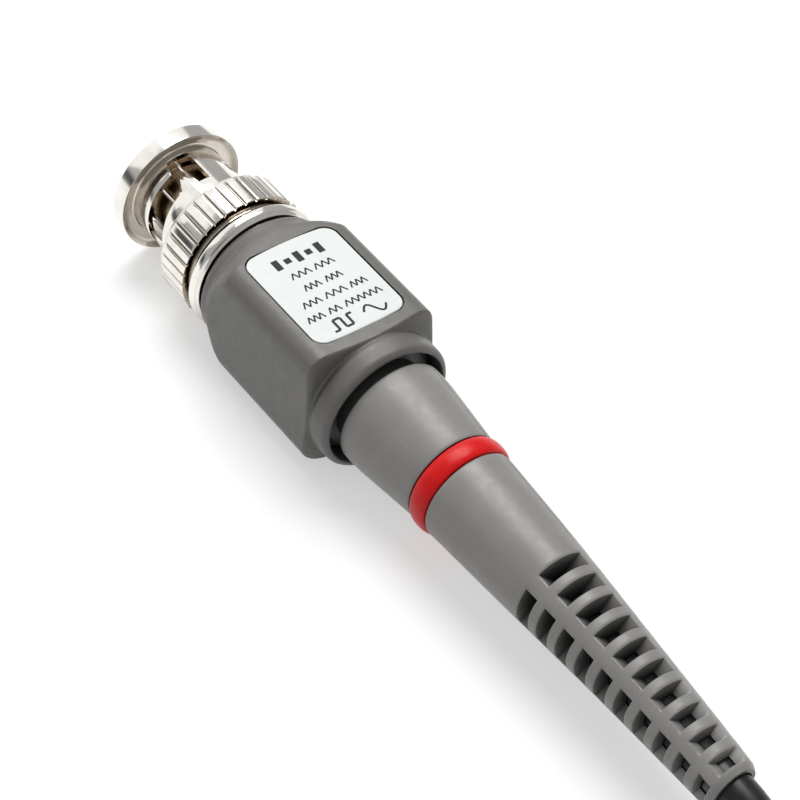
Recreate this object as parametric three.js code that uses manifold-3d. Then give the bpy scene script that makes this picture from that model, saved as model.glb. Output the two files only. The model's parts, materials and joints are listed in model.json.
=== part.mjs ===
// Passive oscilloscope probe: bayonet connector with its compensation box, strain relief boot,
// 1.2 m coaxial lead stored in a tied hank, and the switched probe head with its hook tip.
// Millimetres, +Z up. The origin is the centre of the compensation box's flat underside, and
// +X runs from the bayonet connector towards the lead.

import * as THREE from 'three';
import { mergeVertices } from 'three/addons/utils/BufferGeometryUtils.js';
import Module from 'manifold-3d';

const wasm = await Module();
wasm.setup();

// ---------------------------------------------------------------- driving dimensions

const GAP = 0.3;                    // between pieces that touch on the real object
const SLIM = 0.15;                  // radial clearance of the thin seals inside the connector
const REACH = 30;                   // length of a cutting tool that must pass right through
const SIDES = 20;                   // facets round an ordinary turned piece
const FINE_SIDES = 32;              // and round the widest ones

const BOX_HALF = 7.65;              // half of the box's width and height
const BOX_CORNER = 0.9;             // fillet along the box's long edges
const AXIS_Z = BOX_HALF;            // the box stands on its underside
const NECK_R = 7.6;
const COLLAR_R = 7.4;
const BOX = { front: -10.4, shoulder: -9.6, flat: -6.6, flatEnd: 8.0, rear: 9.0, end: 11.4 };
const ROUNDEST = 0.985;             // how nearly a rounded square comes to a circle

const NUT = {
  front: -27, flangeRear: -25, knurlFront: -17.9, chamberFront: -16.9, rear: -12.9,
  flangeR: 7.25, neckR: 5.5, boreR: 4.9, chamberR: 6.3, knurlR: 7.5, knurlRootR: 7.1, ribs: 36,
};
const CAM = { count: 2, halfWidth: 1.25, from: -24.6, to: -20.4, turn: 75, steps: 8 };

const BODY = { front: -18.6, shoulder: -16.6, flangeRear: -15.9, rear: -7, boreR: 3.6 };
const CAVITY_R = 6.2;               // inside the box
const SOCKET = { from: 8.8, r: 6.55 };
const CAN = { from: -9.1, to: 7.4, outerR: 5.9, innerR: 5.5 };

const LABEL = { x: 0.05, length: 13.7, width: 10.6, thick: 0.4, corner: 1.3 };

const BOOT = { from: 9.1, to: 62, frontR: 6.2, boreR: 2.3, socketR: 3.4, socketEnd: 16.3 };
const RING = { from: 22, to: 24.3, grooveR: 4.65, outerR: 5.5 };
const WINDOW = { first: 37.7, pitch: 2.44, count: 10, length: 1.45, spread: 0.62 };
const SWAY = 1.1;                   // the boot's tip leans this far towards -Y

const CABLE_R = 2;
const LEAD_START = 61.5;            // where the free lead begins, just inside the boot's tip

const HANK = { x: 134, y: 10.7, halfRun: 38.85, foldR: 12, layers: 5, lift: 1.1 };
const TIE = { width: 9, thick: 0.8 };

const HEAD = { x: 100, y: -10.3, z: 7 };
const GUARD_R = 7;
const SLEEVE_TRAVEL = 6;            // how far the hook sleeve draws back
const SWITCH_TRAVEL = 2.6;

// ---------------------------------------------------------------- solids and cuts

// A closed three.js geometry as a solid that can be cut and joined.
function solid(geometry) {
  const bare = geometry.clone();
  bare.deleteAttribute('normal');
  bare.deleteAttribute('uv');
  const merged = mergeVertices(bare, 1e-4);
  const index = merged.index.array;
  const triangles = [];
  for (let i = 0; i < index.length; i += 3) {
    const [a, b, c] = [index[i], index[i + 1], index[i + 2]];
    if (a !== b && b !== c && c !== a) triangles.push(a, b, c);
  }
  return new wasm.Manifold(new wasm.Mesh({
    numProp: 3,
    vertProperties: Float32Array.from(merged.attributes.position.array),
    triVerts: Uint32Array.from(triangles),
  }));
}

// A solid back as a three.js geometry.
function surface(body) {
  const mesh = body.getMesh();
  const geometry = new THREE.BufferGeometry();
  geometry.setAttribute('position', new THREE.BufferAttribute(mesh.vertProperties, 3));
  geometry.setIndex(new THREE.BufferAttribute(mesh.triVerts, 1));
  geometry.computeVertexNormals();
  return geometry;
}

function cut(geometry, tools) {
  return surface(tools.reduce((body, tool) => body.subtract(solid(tool)), solid(geometry)));
}

function join(geometries) {
  return surface(geometries.map(solid).reduce((body, other) => body.add(other)));
}

// ---------------------------------------------------------------- shape helpers

// A piece turned about the X axis. The profile lists [x, radius]: it starts and ends on the axis,
// or it stays off the axis and is closed on itself.
function turned(profile, segments = SIDES) {
  const ring = profile.every(([, r]) => r > 0);
  const outline = ring ? [...profile, profile[0]] : profile;
  const area = outline.slice(1).reduce(
    (sum, [x, r], i) => sum + outline[i][0] * r - x * outline[i][1], 0);
  const points = outline.map(([x, r]) => new THREE.Vector2(r, x));
  if (area > 0) points.reverse();
  return new THREE.LatheGeometry(points, segments).rotateZ(-Math.PI / 2);
}

// A plain tube about the X axis.
function tube(from, to, outerR, innerR, segments = SIDES) {
  return turned([[from, outerR], [to, outerR], [to, innerR], [from, innerR]], segments);
}

// A plain rod about the X axis.
function rod(from, to, r, segments = SIDES) {
  return turned([[from, 0], [from, r], [to, r], [to, 0]], segments);
}

// A box given by its lowest and highest corners.
function block([x0, y0, z0], [x1, y1, z1]) {
  return new THREE.BoxGeometry(x1 - x0, y1 - y0, z1 - z0)
    .translate((x0 + x1) / 2, (y0 + y1) / 2, (z0 + z1) / 2);
}

// A flat outline drawn in X and Y, raised along Z.
function plate(shape, bottom, thick, curveSegments = 6) {
  return new THREE.ExtrudeGeometry(shape, { depth: thick, bevelEnabled: false, curveSegments })
    .translate(0, 0, bottom);
}

function roundedRectangle(length, width, corner) {
  const [a, b] = [length / 2, width / 2];
  const shape = new THREE.Shape();
  shape.moveTo(-a + corner, -b);
  shape.lineTo(a - corner, -b);
  shape.absarc(a - corner, -b + corner, corner, -Math.PI / 2, 0);
  shape.absarc(a - corner, b - corner, corner, 0, Math.PI / 2);
  shape.absarc(-a + corner, b - corner, corner, Math.PI / 2, Math.PI);
  shape.absarc(-a + corner, -b + corner, corner, Math.PI, 1.5 * Math.PI);
  return shape;
}

// A round bar that follows a curve.
function bar(curve, r, sides, steps) {
  const section = new THREE.Shape();
  for (let k = 0; k < sides; k++) {
    const a = 2 * Math.PI * k / sides;
    const [x, y] = [r * Math.cos(a), r * Math.sin(a)];
    if (k === 0) section.moveTo(x, y);
    else section.lineTo(x, y);
  }
  return new THREE.ExtrudeGeometry(section, { steps, extrudePath: curve, bevelEnabled: false });
}

function through(points) {
  return new THREE.CatmullRomCurve3(points.map((p) => new THREE.Vector3(...p)), false, 'centripetal');
}

// A body along X whose section is a rounded square at each station, round where corner equals
// half. It is a lathe whose rings are drawn out to the rounded square.
function squareLoft(stations, perQuarter = 7) {
  const segments = 4 * (perQuarter + 1);
  const ends = [stations[0].x, stations[stations.length - 1].x];
  const points = [
    new THREE.Vector2(0, ends[0]),
    ...stations.map(({ x, half }) => new THREE.Vector2(half, x)),
    new THREE.Vector2(0, ends[1]),
  ];
  const geometry = new THREE.LatheGeometry(points, segments).rotateZ(-Math.PI / 2);
  const position = geometry.attributes.position;
  for (let i = 0; i <= segments; i++) {
    const k = i % segments;
    const quarter = Math.floor(k / (perQuarter + 1));
    const step = k % (perQuarter + 1);
    const middle = (quarter + 0.5) * Math.PI / 2;
    const angle = (quarter + step / perQuarter) * Math.PI / 2;
    stations.forEach(({ x, half, corner }, j) => {
      const centre = (half - corner) * Math.SQRT2;
      const y = centre * Math.cos(middle) + corner * Math.cos(angle);
      const z = centre * Math.sin(middle) + corner * Math.sin(angle);
      position.setXYZ(i * points.length + j + 1, x, y, z);
    });
  }
  return geometry;
}

// The boot and what runs inside it lean slowly towards -Y beyond the box.
function lean(x) {
  const t = Math.max(0, x - BOX.end) / (BOOT.to - BOX.end);
  return -SWAY * t * t;
}

function leaning(geometry) {
  const position = geometry.attributes.position;
  for (let i = 0; i < position.count; i++) {
    position.setY(i, position.getY(i) + lean(position.getX(i)));
  }
  geometry.computeVertexNormals();
  return geometry;
}

// ---------------------------------------------------------------- materials and the tree

const FINISH = {
  nickel: { color: 0xd9d4ca, roughness: 0.22, metalness: 1 },
  brass: { color: 0xb9975b, roughness: 0.35, metalness: 1 },
  gold: { color: 0xd8b45c, roughness: 0.3, metalness: 1 },
  steel: { color: 0x9c9d9f, roughness: 0.35, metalness: 1 },
  shell: { color: 0x6f6d68, roughness: 0.6, metalness: 0 },
  boot: { color: 0x86837d, roughness: 0.65, metalness: 0 },
  label: { color: 0xe4efe8, roughness: 0.45, metalness: 0 },
  red: { color: 0xd8201f, roughness: 0.3, metalness: 0 },
  black: { color: 0x17171a, roughness: 0.35, metalness: 0 },
  ptfe: { color: 0xeeeeea, roughness: 0.5, metalness: 0 },
  board: { color: 0x1f5c3a, roughness: 0.5, metalness: 0 },
  resistor: { color: 0x7fa7b8, roughness: 0.5, metalness: 0 },
  ceramic: { color: 0xb98445, roughness: 0.5, metalness: 0 },
};

const probe = new THREE.Group();
const connector = new THREE.Group();    // everything on the connector's axis
const head = new THREE.Group();         // everything on the probe head's axis
connector.position.set(0, 0, AXIS_Z);
head.position.set(HEAD.x, HEAD.y, HEAD.z);
probe.add(connector, head);

function add(group, name, finish, geometry) {
  const mesh = new THREE.Mesh(geometry, new THREE.MeshStandardMaterial(FINISH[finish]));
  mesh.name = name;
  group.add(mesh);
}

// ---------------------------------------------------------------- bayonet connector

// A ring of flat-topped ribs, raised along X.
function knurledRing(from, to, outerR, rootR, innerR, ribs) {
  const shape = new THREE.Shape();
  const pitch = 2 * Math.PI / ribs;
  const edges = [[0.12, rootR], [0.24, outerR], [0.76, outerR], [0.88, rootR]];
  for (let k = 0; k < ribs; k++) {
    edges.forEach(([share, r], i) => {
      const a = (k + share) * pitch;
      const [x, y] = [r * Math.cos(a), r * Math.sin(a)];
      if (k + i === 0) shape.moveTo(x, y);
      else shape.lineTo(x, y);
    });
  }
  const hole = new THREE.Path();
  hole.absarc(0, 0, innerR, 0, 2 * Math.PI, true);
  shape.holes.push(hole);
  return plate(shape, from, to - from, 12).rotateY(Math.PI / 2);
}

// Tools for one helical cam slot and the straight entry behind the flange's bore.
function camSlot(start) {
  const tools = [];
  for (let k = 0; k < CAM.steps; k++) {
    const share = k / (CAM.steps - 1);
    const x = CAM.from + share * (CAM.to - CAM.from);
    const tool = block(
      [x - CAM.halfWidth, -CAM.halfWidth, NUT.boreR - 1],
      [x + CAM.halfWidth, CAM.halfWidth, NUT.neckR + 1]);
    tools.push(tool.rotateX(start + THREE.MathUtils.degToRad(CAM.turn * share)));
  }
  const entry = block([NUT.front - 1, -CAM.halfWidth, 0], [CAM.from, CAM.halfWidth, NUT.boreR + 0.7]);
  return [...tools, entry.rotateX(start)];
}

function couplingNut() {
  const turnedBody = turned([
    [NUT.front, NUT.boreR], [NUT.front, NUT.flangeR], [NUT.flangeRear, NUT.flangeR],
    [NUT.flangeRear, NUT.neckR], [NUT.knurlFront, NUT.neckR], [NUT.knurlFront, NUT.knurlRootR - 0.2],
    [NUT.rear, NUT.knurlRootR - 0.2], [NUT.rear, NUT.chamberR], [NUT.chamberFront, NUT.chamberR],
    [NUT.chamberFront, NUT.boreR],
  ], FINE_SIDES);
  const knurl = knurledRing(
    NUT.knurlFront, NUT.rear, NUT.knurlR, NUT.knurlRootR, NUT.chamberR + 0.2, NUT.ribs);
  const starts = Array.from({ length: CAM.count }, (_, k) => 2 * Math.PI * k / CAM.count);
  return cut(join([turnedBody, knurl]), starts.flatMap(camSlot));
}

function contactSleeve() {
  const [front, rear, outerR, innerR] = [-26, BODY.front - GAP, 4, 3.5];
  const slots = [0, 1].map((k) => block(
    [front - 1, -0.25, -outerR - 1], [front + 5, 0.25, outerR + 1]).rotateX((k + 0.5) * Math.PI / 2));
  return cut(tube(front, rear, outerR, innerR), slots);
}

function connectorBody() {
  const [noseR, flangeR, tailR] = [4.5, 6, 4.9];
  return turned([
    [BODY.front, BODY.boreR], [BODY.front, noseR], [BODY.shoulder, noseR], [BODY.shoulder, flangeR],
    [BODY.flangeRear, flangeR], [BODY.flangeRear, tailR], [BODY.rear, tailR], [BODY.rear, BODY.boreR],
  ]);
}

function centrePin() {
  const [tip, rear, r] = [-26.2, -8.5, 0.67];
  return turned([[tip, 0], [tip + 0.9, r], [rear, r], [rear, 0]], 12);
}

function rearCollar() {
  const [front, bend, rear, outerR, innerR] = [NUT.rear + GAP, -11.6, BOX.front - GAP, 7.55, 5.2];
  return turned([[front, innerR], [front, outerR], [bend, outerR], [rear, 7.15], [rear, innerR]], FINE_SIDES);
}

add(connector, 'bnc_coupling_nut', 'nickel', couplingNut());
add(connector, 'bnc_contact_sleeve', 'nickel', contactSleeve());
add(connector, 'bnc_body', 'nickel', connectorBody());
add(connector, 'bnc_dielectric', 'ptfe', tube(-21.8, -9, 3.2, 0.85, 16));
add(connector, 'bnc_centre_pin', 'gold', centrePin());
add(connector, 'bnc_gasket', 'red', tube(-19.9, -18.9, NUT.boreR - SLIM, 4.15, 20));
add(connector, 'wave_spring', 'steel', tube(-15.6, -15.1, 5.9, 5.2));
add(connector, 'thrust_washer', 'steel', tube(-14.5, -14.1, 6, 5.2));
add(connector, 'nut_retaining_ring', 'steel', tube(-13.8, -13.1, 6, 5.2));
add(connector, 'bnc_rear_collar', 'nickel', rearCollar());

// ---------------------------------------------------------------- compensation box

const TRIMMER = { x: 2.5, bodyTo: 3.4, screwTo: 4.9, screwR: 1.3, canHoleR: 1.7, shellHoleR: 1.5 };

// A round hole drilled from the axis towards +Y at the trimmer.
function drilled(r) {
  return new THREE.CylinderGeometry(r, r, REACH, 16)
    .translate(0, REACH / 2, 0)
    .translate(TRIMMER.x, 1, 0);
}

function housing() {
  const round = (half) => half * ROUNDEST;
  const outside = squareLoft([
    { x: BOX.front, half: NECK_R - 0.3, corner: round(NECK_R - 0.3) },
    { x: BOX.front + 0.3, half: NECK_R, corner: round(NECK_R) },
    { x: BOX.shoulder, half: NECK_R, corner: round(NECK_R) },
    { x: (BOX.shoulder + BOX.flat) / 2, half: BOX_HALF, corner: 4 },
    { x: BOX.flat, half: BOX_HALF, corner: BOX_CORNER },
    { x: BOX.flatEnd, half: BOX_HALF, corner: BOX_CORNER },
    { x: BOX.rear - 0.3, half: BOX_HALF - 0.25, corner: 1.6 },
    { x: BOX.rear, half: COLLAR_R, corner: round(COLLAR_R) },
    { x: BOX.end - 0.4, half: COLLAR_R, corner: round(COLLAR_R) },
    { x: BOX.end, half: COLLAR_R - 0.3, corner: round(COLLAR_R - 0.3) },
  ]);
  const mouth = rod(BOX.front - 1, BOX.front + 2, 5.2);
  const cavity = rod(BOX.front + 1, SOCKET.from, CAVITY_R);
  const socket = rod(SOCKET.from - 0.1, BOX.end + 1, SOCKET.r);
  const recess = plate(
    roundedRectangle(LABEL.length + 2 * GAP, LABEL.width + 2 * GAP, LABEL.corner + GAP),
    BOX_HALF - LABEL.thick - GAP, 2).translate(LABEL.x, 0, 0);
  return cut(outside, [mouth, cavity, socket, recess, drilled(TRIMMER.shellHoleR)]);
}

function trimmerScrew() {
  const from = TRIMMER.bodyTo + GAP;
  const rotor = new THREE.CylinderGeometry(TRIMMER.screwR, TRIMMER.screwR, TRIMMER.screwTo - from, 16)
    .translate(TRIMMER.x, (from + TRIMMER.screwTo) / 2, 0);
  const slot = block(
    [TRIMMER.x - 2, TRIMMER.screwTo - 0.5, -0.2], [TRIMMER.x + 2, TRIMMER.screwTo + 1, 0.2]);
  return cut(rotor, [slot]);
}

const label = roundedRectangle(LABEL.length, LABEL.width, LABEL.corner);
add(connector, 'compensation_housing', 'shell', housing());
add(connector, 'label_plate', 'label',
  plate(label, BOX_HALF - LABEL.thick, LABEL.thick).translate(LABEL.x, 0, 0));
add(connector, 'shield_can', 'brass',
  cut(tube(CAN.from, CAN.to, CAN.outerR, CAN.innerR), [drilled(TRIMMER.canHoleR)]));
add(connector, 'circuit_board', 'board', block([-5, -4.1, -3.2], [6.4, 4.1, -2.4]));
add(connector, 'trimmer_body', 'ceramic', block([0, 0.4, -2.1], [5, TRIMMER.bodyTo, 2.1]));
add(connector, 'trimmer_screw', 'brass', trimmerScrew());
add(connector, 'termination_resistor', 'resistor', rod(-3.8, -0.6, 0.85, 10).translate(0, -2.4, -1.25));
add(connector, 'shunt_capacitor', 'ceramic', block([1.4, -3.4, -2.1], [3.8, -1.6, -0.8]));
add(connector, 'pin_wire', 'gold', bar(through([[-8.2, 0, 0], [-6.8, 0, -0.1], [-5, 0, -1.2],
  [-4.2, 0, -2.1]]), 0.3, 8, 5));
add(connector, 'crimp_ferrule', 'brass', turned([
  [7.7, BOOT.boreR], [7.7, 5.8], [8.5, 5.8], [8.5, 3.1], [16, 3.1], [16, BOOT.boreR]]));

// ---------------------------------------------------------------- strain relief boot

// The four windows at one station of the boot, one on each side.
function windowsAt(x, outerR) {
  const half = WINDOW.spread * outerR;
  return [0, 1, 2, 3].map((k) => block(
    [x - WINDOW.length / 2, -half, BOOT.boreR - 0.4], [x + WINDOW.length / 2, half, outerR + 1])
    .rotateX(k * Math.PI / 2));
}

const BOOT_OUTLINE = [[BOOT.from, BOOT.frontR], [14, 6.1], [RING.from - 0.3, 5.25],
  [RING.from - 0.3, RING.grooveR], [RING.to + 0.3, RING.grooveR], [RING.to + 0.3, 5.15],
  [35, 4.6], [48, 3.7], [BOOT.to - 0.5, 2.8], [BOOT.to, 2.6]];

// The boot's outer radius on its last straight stretches.
function bootRadius(x) {
  const [[x0, r0], [x1, r1], [x2, r2]] = BOOT_OUTLINE.slice(6, 9);
  return x < x1 ? r0 + (x - x0) * (r1 - r0) / (x1 - x0) : r1 + (x - x1) * (r2 - r1) / (x2 - x1);
}

function boot() {
  const blank = turned([
    ...BOOT_OUTLINE, [BOOT.to, BOOT.boreR], [BOOT.socketEnd, BOOT.boreR],
    [BOOT.socketEnd, BOOT.socketR], [BOOT.from, BOOT.socketR]], 16);
  const stations = Array.from({ length: WINDOW.count }, (_, k) => WINDOW.first + k * WINDOW.pitch);
  return leaning(cut(blank, stations.flatMap((x) => windowsAt(x, bootRadius(x)))));
}

// The cable inside the boot, from the shield can to just inside the boot's tip.
function cableInBoot() {
  const stations = [7, 16, 26, 36, 46, 54, LEAD_START - GAP];
  return leaning(turned([[7, 0], ...stations.map((x) => [x, CABLE_R]), [LEAD_START - GAP, 0]], 8));
}

add(connector, 'strain_relief_boot', 'boot', boot());
add(connector, 'channel_ring', 'red', leaning(turned([
  [RING.from, RING.grooveR + GAP], [RING.from, 5.3], [RING.from + 0.5, RING.outerR],
  [RING.to - 0.5, RING.outerR], [RING.to, 5.3], [RING.to, RING.grooveR + GAP]])));
add(connector, 'cable_in_boot', 'black', cableInBoot());
add(connector, 'core_wire', 'gold', bar(through([[6.7, 0, 0], [6.4, 0, -0.6], [5.9, 0, -1.5],
  [5.5, 0, -2.1]]), 0.25, 8, 4));

// ---------------------------------------------------------------- free lead, hank and tie

const foldX = HANK.x - HANK.halfRun;           // centre of the folds nearest the connector
const nearRun = HANK.y - HANK.foldR;           // the run that the lead joins
const farRun = HANK.y + HANK.foldR;
const topZ = CABLE_R * (2 * HANK.layers - 1);  // height of the last layer's centre
const leadY = lean(LEAD_START);

// From the boot's tip, down to the surface, to the hank's first run.
const LEAD_IN = [
  [LEAD_START, leadY, AXIS_Z], [65, leadY - 0.15, 7.6], [69, leadY - 0.2, 6.7], [73, leadY - 0.2, 5.1],
  [77, leadY - 0.2, 3.5], [80, leadY - 0.2, 2.6], [82, leadY - 0.2, 2.15], [foldX - 10.4, nearRun, 2],
];

// The last turn swings wide of the hank's fold, sinking as it goes, and enters the probe head.
// Its first half lies within the hank's outline, so this stretch starts at its furthest point.
const turnR = (farRun - HEAD.y) / 2;
const turnY = (farRun + HEAD.y) / 2;
const turnSteps = 12;
const LEAD_OUT = [];
for (let k = turnSteps / 2; k <= turnSteps; k++) {
  const share = k / turnSteps;
  const drop = share * share * (3 - 2 * share);
  LEAD_OUT.push([
    foldX - turnR * Math.sin(Math.PI * share),
    turnY + turnR * Math.cos(Math.PI * share),
    topZ + (HEAD.z - topZ) * drop,
  ]);
}
LEAD_OUT.push([HEAD.x, HEAD.y, HEAD.z], [HEAD.x + 2.5, HEAD.y, HEAD.z]);

function stadium(halfRun, r) {
  const path = new THREE.Shape();
  path.moveTo(-halfRun, -r);
  path.lineTo(halfRun, -r);
  path.absarc(halfRun, 0, r, -Math.PI / 2, Math.PI / 2);
  path.lineTo(-halfRun, r);
  path.absarc(-halfRun, 0, r, Math.PI / 2, 1.5 * Math.PI);
  return path;
}

// The whole hank as one ring with round ends.
function hank() {
  const outline = stadium(HANK.halfRun, HANK.foldR + CABLE_R);
  outline.holes.push(stadium(HANK.halfRun, HANK.foldR - CABLE_R));
  return plate(outline, HANK.lift, 2 * CABLE_R * HANK.layers, 10).translate(HANK.x, HANK.y, 0);
}

// A strap round the middle of the hank.
function hankTie() {
  const half = HANK.foldR + CABLE_R + GAP + TIE.thick;
  const top = HANK.lift + 2 * CABLE_R * HANK.layers + GAP + TIE.thick;
  const strap = block([-TIE.width / 2, -half, 0], [TIE.width / 2, half, top]);
  const inside = block(
    [-TIE.width, TIE.thick - half, TIE.thick], [TIE.width, half - TIE.thick, top - TIE.thick]);
  return cut(strap, [inside]).translate(HANK.x, HANK.y, 0);
}

add(probe, 'cable_lead_in', 'black', bar(through(LEAD_IN), CABLE_R, 8, 9));
add(probe, 'cable_hank', 'black', hank());
add(probe, 'hank_tie', 'black', hankTie());
add(probe, 'cable_lead_out', 'black', bar(through(LEAD_OUT), CABLE_R, 8, 14));

// ---------------------------------------------------------------- probe head

const BARREL = { from: 26, to: 84, boreR: 3.4 };
const SWITCH = {
  windowFrom: 46.9, windowTo: 51.4 + SWITCH_TRAVEL, from: 47.5, to: 50.5, halfWidth: 1.4, top: 5.8,
};
const SLEEVE = { from: BARREL.to + SLEEVE_TRAVEL + 2, ledge: 117.4, to: 129, boreR: 3.45, noseBoreR: 1.7 };
const CARRIER = { from: 90.5, to: 106, r: 3.1 };

function headRelief() {
  return turned([
    [0, BOOT.boreR], [0, 2.9], [8, 3.2], [20.2, 3.9], [20.7, 3.45], [23.3, 3.45], [23.8, 4.05],
    [25.7, 4.2], [25.7, 3.1], [29.5, 3.1], [29.5, BOOT.boreR]]);
}

function headBarrel() {
  const shell = turned([
    [BARREL.from, BARREL.boreR], [BARREL.from, 4.5], [30, 5], [38, 5.2], [56, 4.6], [70, 4.7],
    [78.5, 5.3], [80, GUARD_R], [82, GUARD_R], [82.6, 4.6], [BARREL.to, 4.4],
    [BARREL.to, BARREL.boreR]]);
  const slot = block([SWITCH.windowFrom, -1.8, 2], [SWITCH.windowTo, 1.8, 8]);
  return cut(shell, [slot]);
}

// The thumb slider: a captive plate under the shell with a ridged stem through the window.
function switchSlider() {
  const foot = block([46, -1.8, 2.1], [52, 1.8, 2.6]);
  const stem = block([SWITCH.from, -SWITCH.halfWidth, 2.3], [SWITCH.to, SWITCH.halfWidth, SWITCH.top]);
  const grooves = [0.9, 1.5, 2.1].map((x) => block(
    [SWITCH.from + x - 0.15, -2, SWITCH.top - 0.3], [SWITCH.from + x + 0.15, 2, SWITCH.top + 1]));
  return cut(join([foot, stem]), grooves);
}

function hookSleeve() {
  return turned([
    [SLEEVE.from, SLEEVE.boreR], [SLEEVE.from, 4.8], [SLEEVE.from + 0.5, 6.2], [SLEEVE.from + 2.5, 6.2],
    [SLEEVE.from + 3, 4.9], [112, 4.5],
    [127.5, 2.6], [SLEEVE.to, 2.2], [SLEEVE.to, SLEEVE.noseBoreR],
    [SLEEVE.ledge, SLEEVE.noseBoreR], [SLEEVE.ledge, SLEEVE.boreR]]);
}

// A coil spring's centreline about the X axis.
class Helix extends THREE.Curve {
  constructor(from, to, r, turns) {
    super();
    Object.assign(this, { from, to, r, turns });
  }

  getPoint(t, target = new THREE.Vector3()) {
    const a = 2 * Math.PI * this.turns * t;
    return target.set(
      this.from + (this.to - this.from) * t, this.r * Math.cos(a), this.r * Math.sin(a));
  }
}

const HOOK_WIRE = [[106.3, 0, 0], [112, 0, 0], [120, 0, 0.1], [125, 0, 0.6], [127.2, 0, 0.9],
  [128.2, 0, 0.5], [128.4, 0, -0.2], [127.8, 0, -0.8], [126.9, 0, -1]];

add(head, 'head_strain_relief', 'boot', headRelief());
add(head, 'head_channel_ring', 'red', turned([
  [20.9, 3.75], [20.9, 4.1], [21.4, 4.4], [22.6, 4.4], [23.1, 4.1], [23.1, 3.75]]));
add(head, 'cable_in_head', 'black', rod(2.8, 30.5, CABLE_R, 8));
add(head, 'head_barrel', 'shell', headBarrel());
add(head, 'head_board', 'board', block([33, -2.5, -1.7], [76, 2.5, -1]));
add(head, 'switch_base', 'black', block([45.5, -1.8, -0.7], [54.5, 1.8, 1.3]));
add(head, 'switch_wiper', 'gold', block([47.6, -0.9, 1.6], [50.4, 0.9, 1.8]));
add(head, 'switch_slider', 'black', switchSlider());
add(head, 'attenuator_resistor', 'resistor', rod(58, 64, 0.8, 10).translate(0, 0, 0.1));
add(head, 'attenuator_capacitor', 'ceramic', block([66, -1.1, -0.7], [69, 1.1, 1.2]));
add(head, 'ground_ring', 'nickel', tube(78, 90.2, 3.1, 2.2));
add(head, 'tip_insulator', 'black', tube(77.5, 99, 1.9, 0.75, 16));
add(head, 'probe_tip', 'gold', turned([[76.8, 0], [76.8, 0.45], [99.5, 0.45], [101, 0]], 10));
add(head, 'hook_carrier', 'black', turned([
  [CARRIER.to, 0], [CARRIER.to, CARRIER.r], [CARRIER.from, CARRIER.r], [CARRIER.from, 2.2],
  [103, 2.2], [103, 0]]));
add(head, 'hook_wire', 'nickel', bar(through(HOOK_WIRE), 0.35, 8, 16));
add(head, 'hook_spring', 'steel', bar(
  new Helix(CARRIER.to + 0.7, SLEEVE.ledge - 0.7, 2.3, 5), 0.3, 6, 40));
add(head, 'hook_sleeve', 'shell', hookSleeve());

export default probe;
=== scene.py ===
import json
import math

import bmesh
import bpy
import numpy as np
from mathutils import Matrix, Vector

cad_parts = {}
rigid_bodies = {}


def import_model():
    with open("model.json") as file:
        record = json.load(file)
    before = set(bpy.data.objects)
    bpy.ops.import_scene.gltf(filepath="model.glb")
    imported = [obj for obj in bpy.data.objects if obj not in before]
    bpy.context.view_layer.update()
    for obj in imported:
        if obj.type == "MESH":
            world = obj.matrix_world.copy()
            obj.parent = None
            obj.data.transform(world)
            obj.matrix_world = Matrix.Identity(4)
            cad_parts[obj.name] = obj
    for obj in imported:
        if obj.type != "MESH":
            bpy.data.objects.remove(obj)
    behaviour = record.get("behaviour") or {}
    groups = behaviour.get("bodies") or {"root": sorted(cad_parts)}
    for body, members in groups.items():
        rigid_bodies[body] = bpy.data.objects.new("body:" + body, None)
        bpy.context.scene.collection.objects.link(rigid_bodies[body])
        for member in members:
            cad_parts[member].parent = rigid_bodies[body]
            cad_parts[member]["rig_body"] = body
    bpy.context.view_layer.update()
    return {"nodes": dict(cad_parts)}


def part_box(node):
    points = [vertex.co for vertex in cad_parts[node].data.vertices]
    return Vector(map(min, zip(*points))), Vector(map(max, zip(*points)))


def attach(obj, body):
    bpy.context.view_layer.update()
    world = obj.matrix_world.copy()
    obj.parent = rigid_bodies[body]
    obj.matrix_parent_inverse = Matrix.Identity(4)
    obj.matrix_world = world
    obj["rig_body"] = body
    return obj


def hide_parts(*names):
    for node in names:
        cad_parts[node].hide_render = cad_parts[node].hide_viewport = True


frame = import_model()

# Looks of the passive oscilloscope probe: bayonet connector, compensation box, strain relief boot,
# stored lead and probe head. Shapes are worked out in millimetres about a local axis along X, and
# turned into metres in the CAD frame when a mesh is made. Angles round an axis run from straight
# up towards -Y.

MM = 0.001
FULL = 2 * math.pi


def corners(node):
    """A CAD node's lowest and highest corners, in millimetres."""
    return tuple(np.array(corner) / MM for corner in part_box(node))


def middle(node):
    return sum(corners(node)) / 2


def ends(node):
    """Where a CAD node begins and ends along X."""
    low, high = corners(node)
    return low[0], high[0]


# ---- places taken from the frame

NUT_FRONT, NUT_REAR = ends("bnc_coupling_nut")
BOX_FRONT, BOX_REAR = ends("compensation_housing")
RING_FROM, RING_TO = ends("channel_ring")
BOOT_FRONT, BOOT_REAR = ends("strain_relief_boot")
HANK_LOW, HANK_HIGH = corners("cable_hank")

BOX_HALF = middle("compensation_housing")[2]
CONNECTOR = (0.0, 0.0, BOX_HALF)  # the connector's axis
HEAD = (ends("head_strain_relief")[0], *middle("head_barrel")[1:])

CABLE_R = 2.0
LEAD_START = 61.5  # the free lead begins inside the boot's tip
SWAY = 1.1  # the boot's tip leans this far towards -Y


def lean(x):
    """How far the boot and its cable stand off the axis, in Y."""
    share = np.maximum(0, np.asarray(x, float) - BOX_REAR) / (BOOT_REAR - BOX_REAR)
    return -SWAY * share * share


# ---- camera

AIM = Vector((2.34, 9.68, -5.17)) * MM  # a point on the camera's optical axis
DISTANCE = 251.61 * MM
AZIMUTH, ELEVATION, ROLL = (math.radians(a) for a in (48.03, 47.22, 7.08))
LENS, SENSOR = 107.7, 36.0


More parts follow.
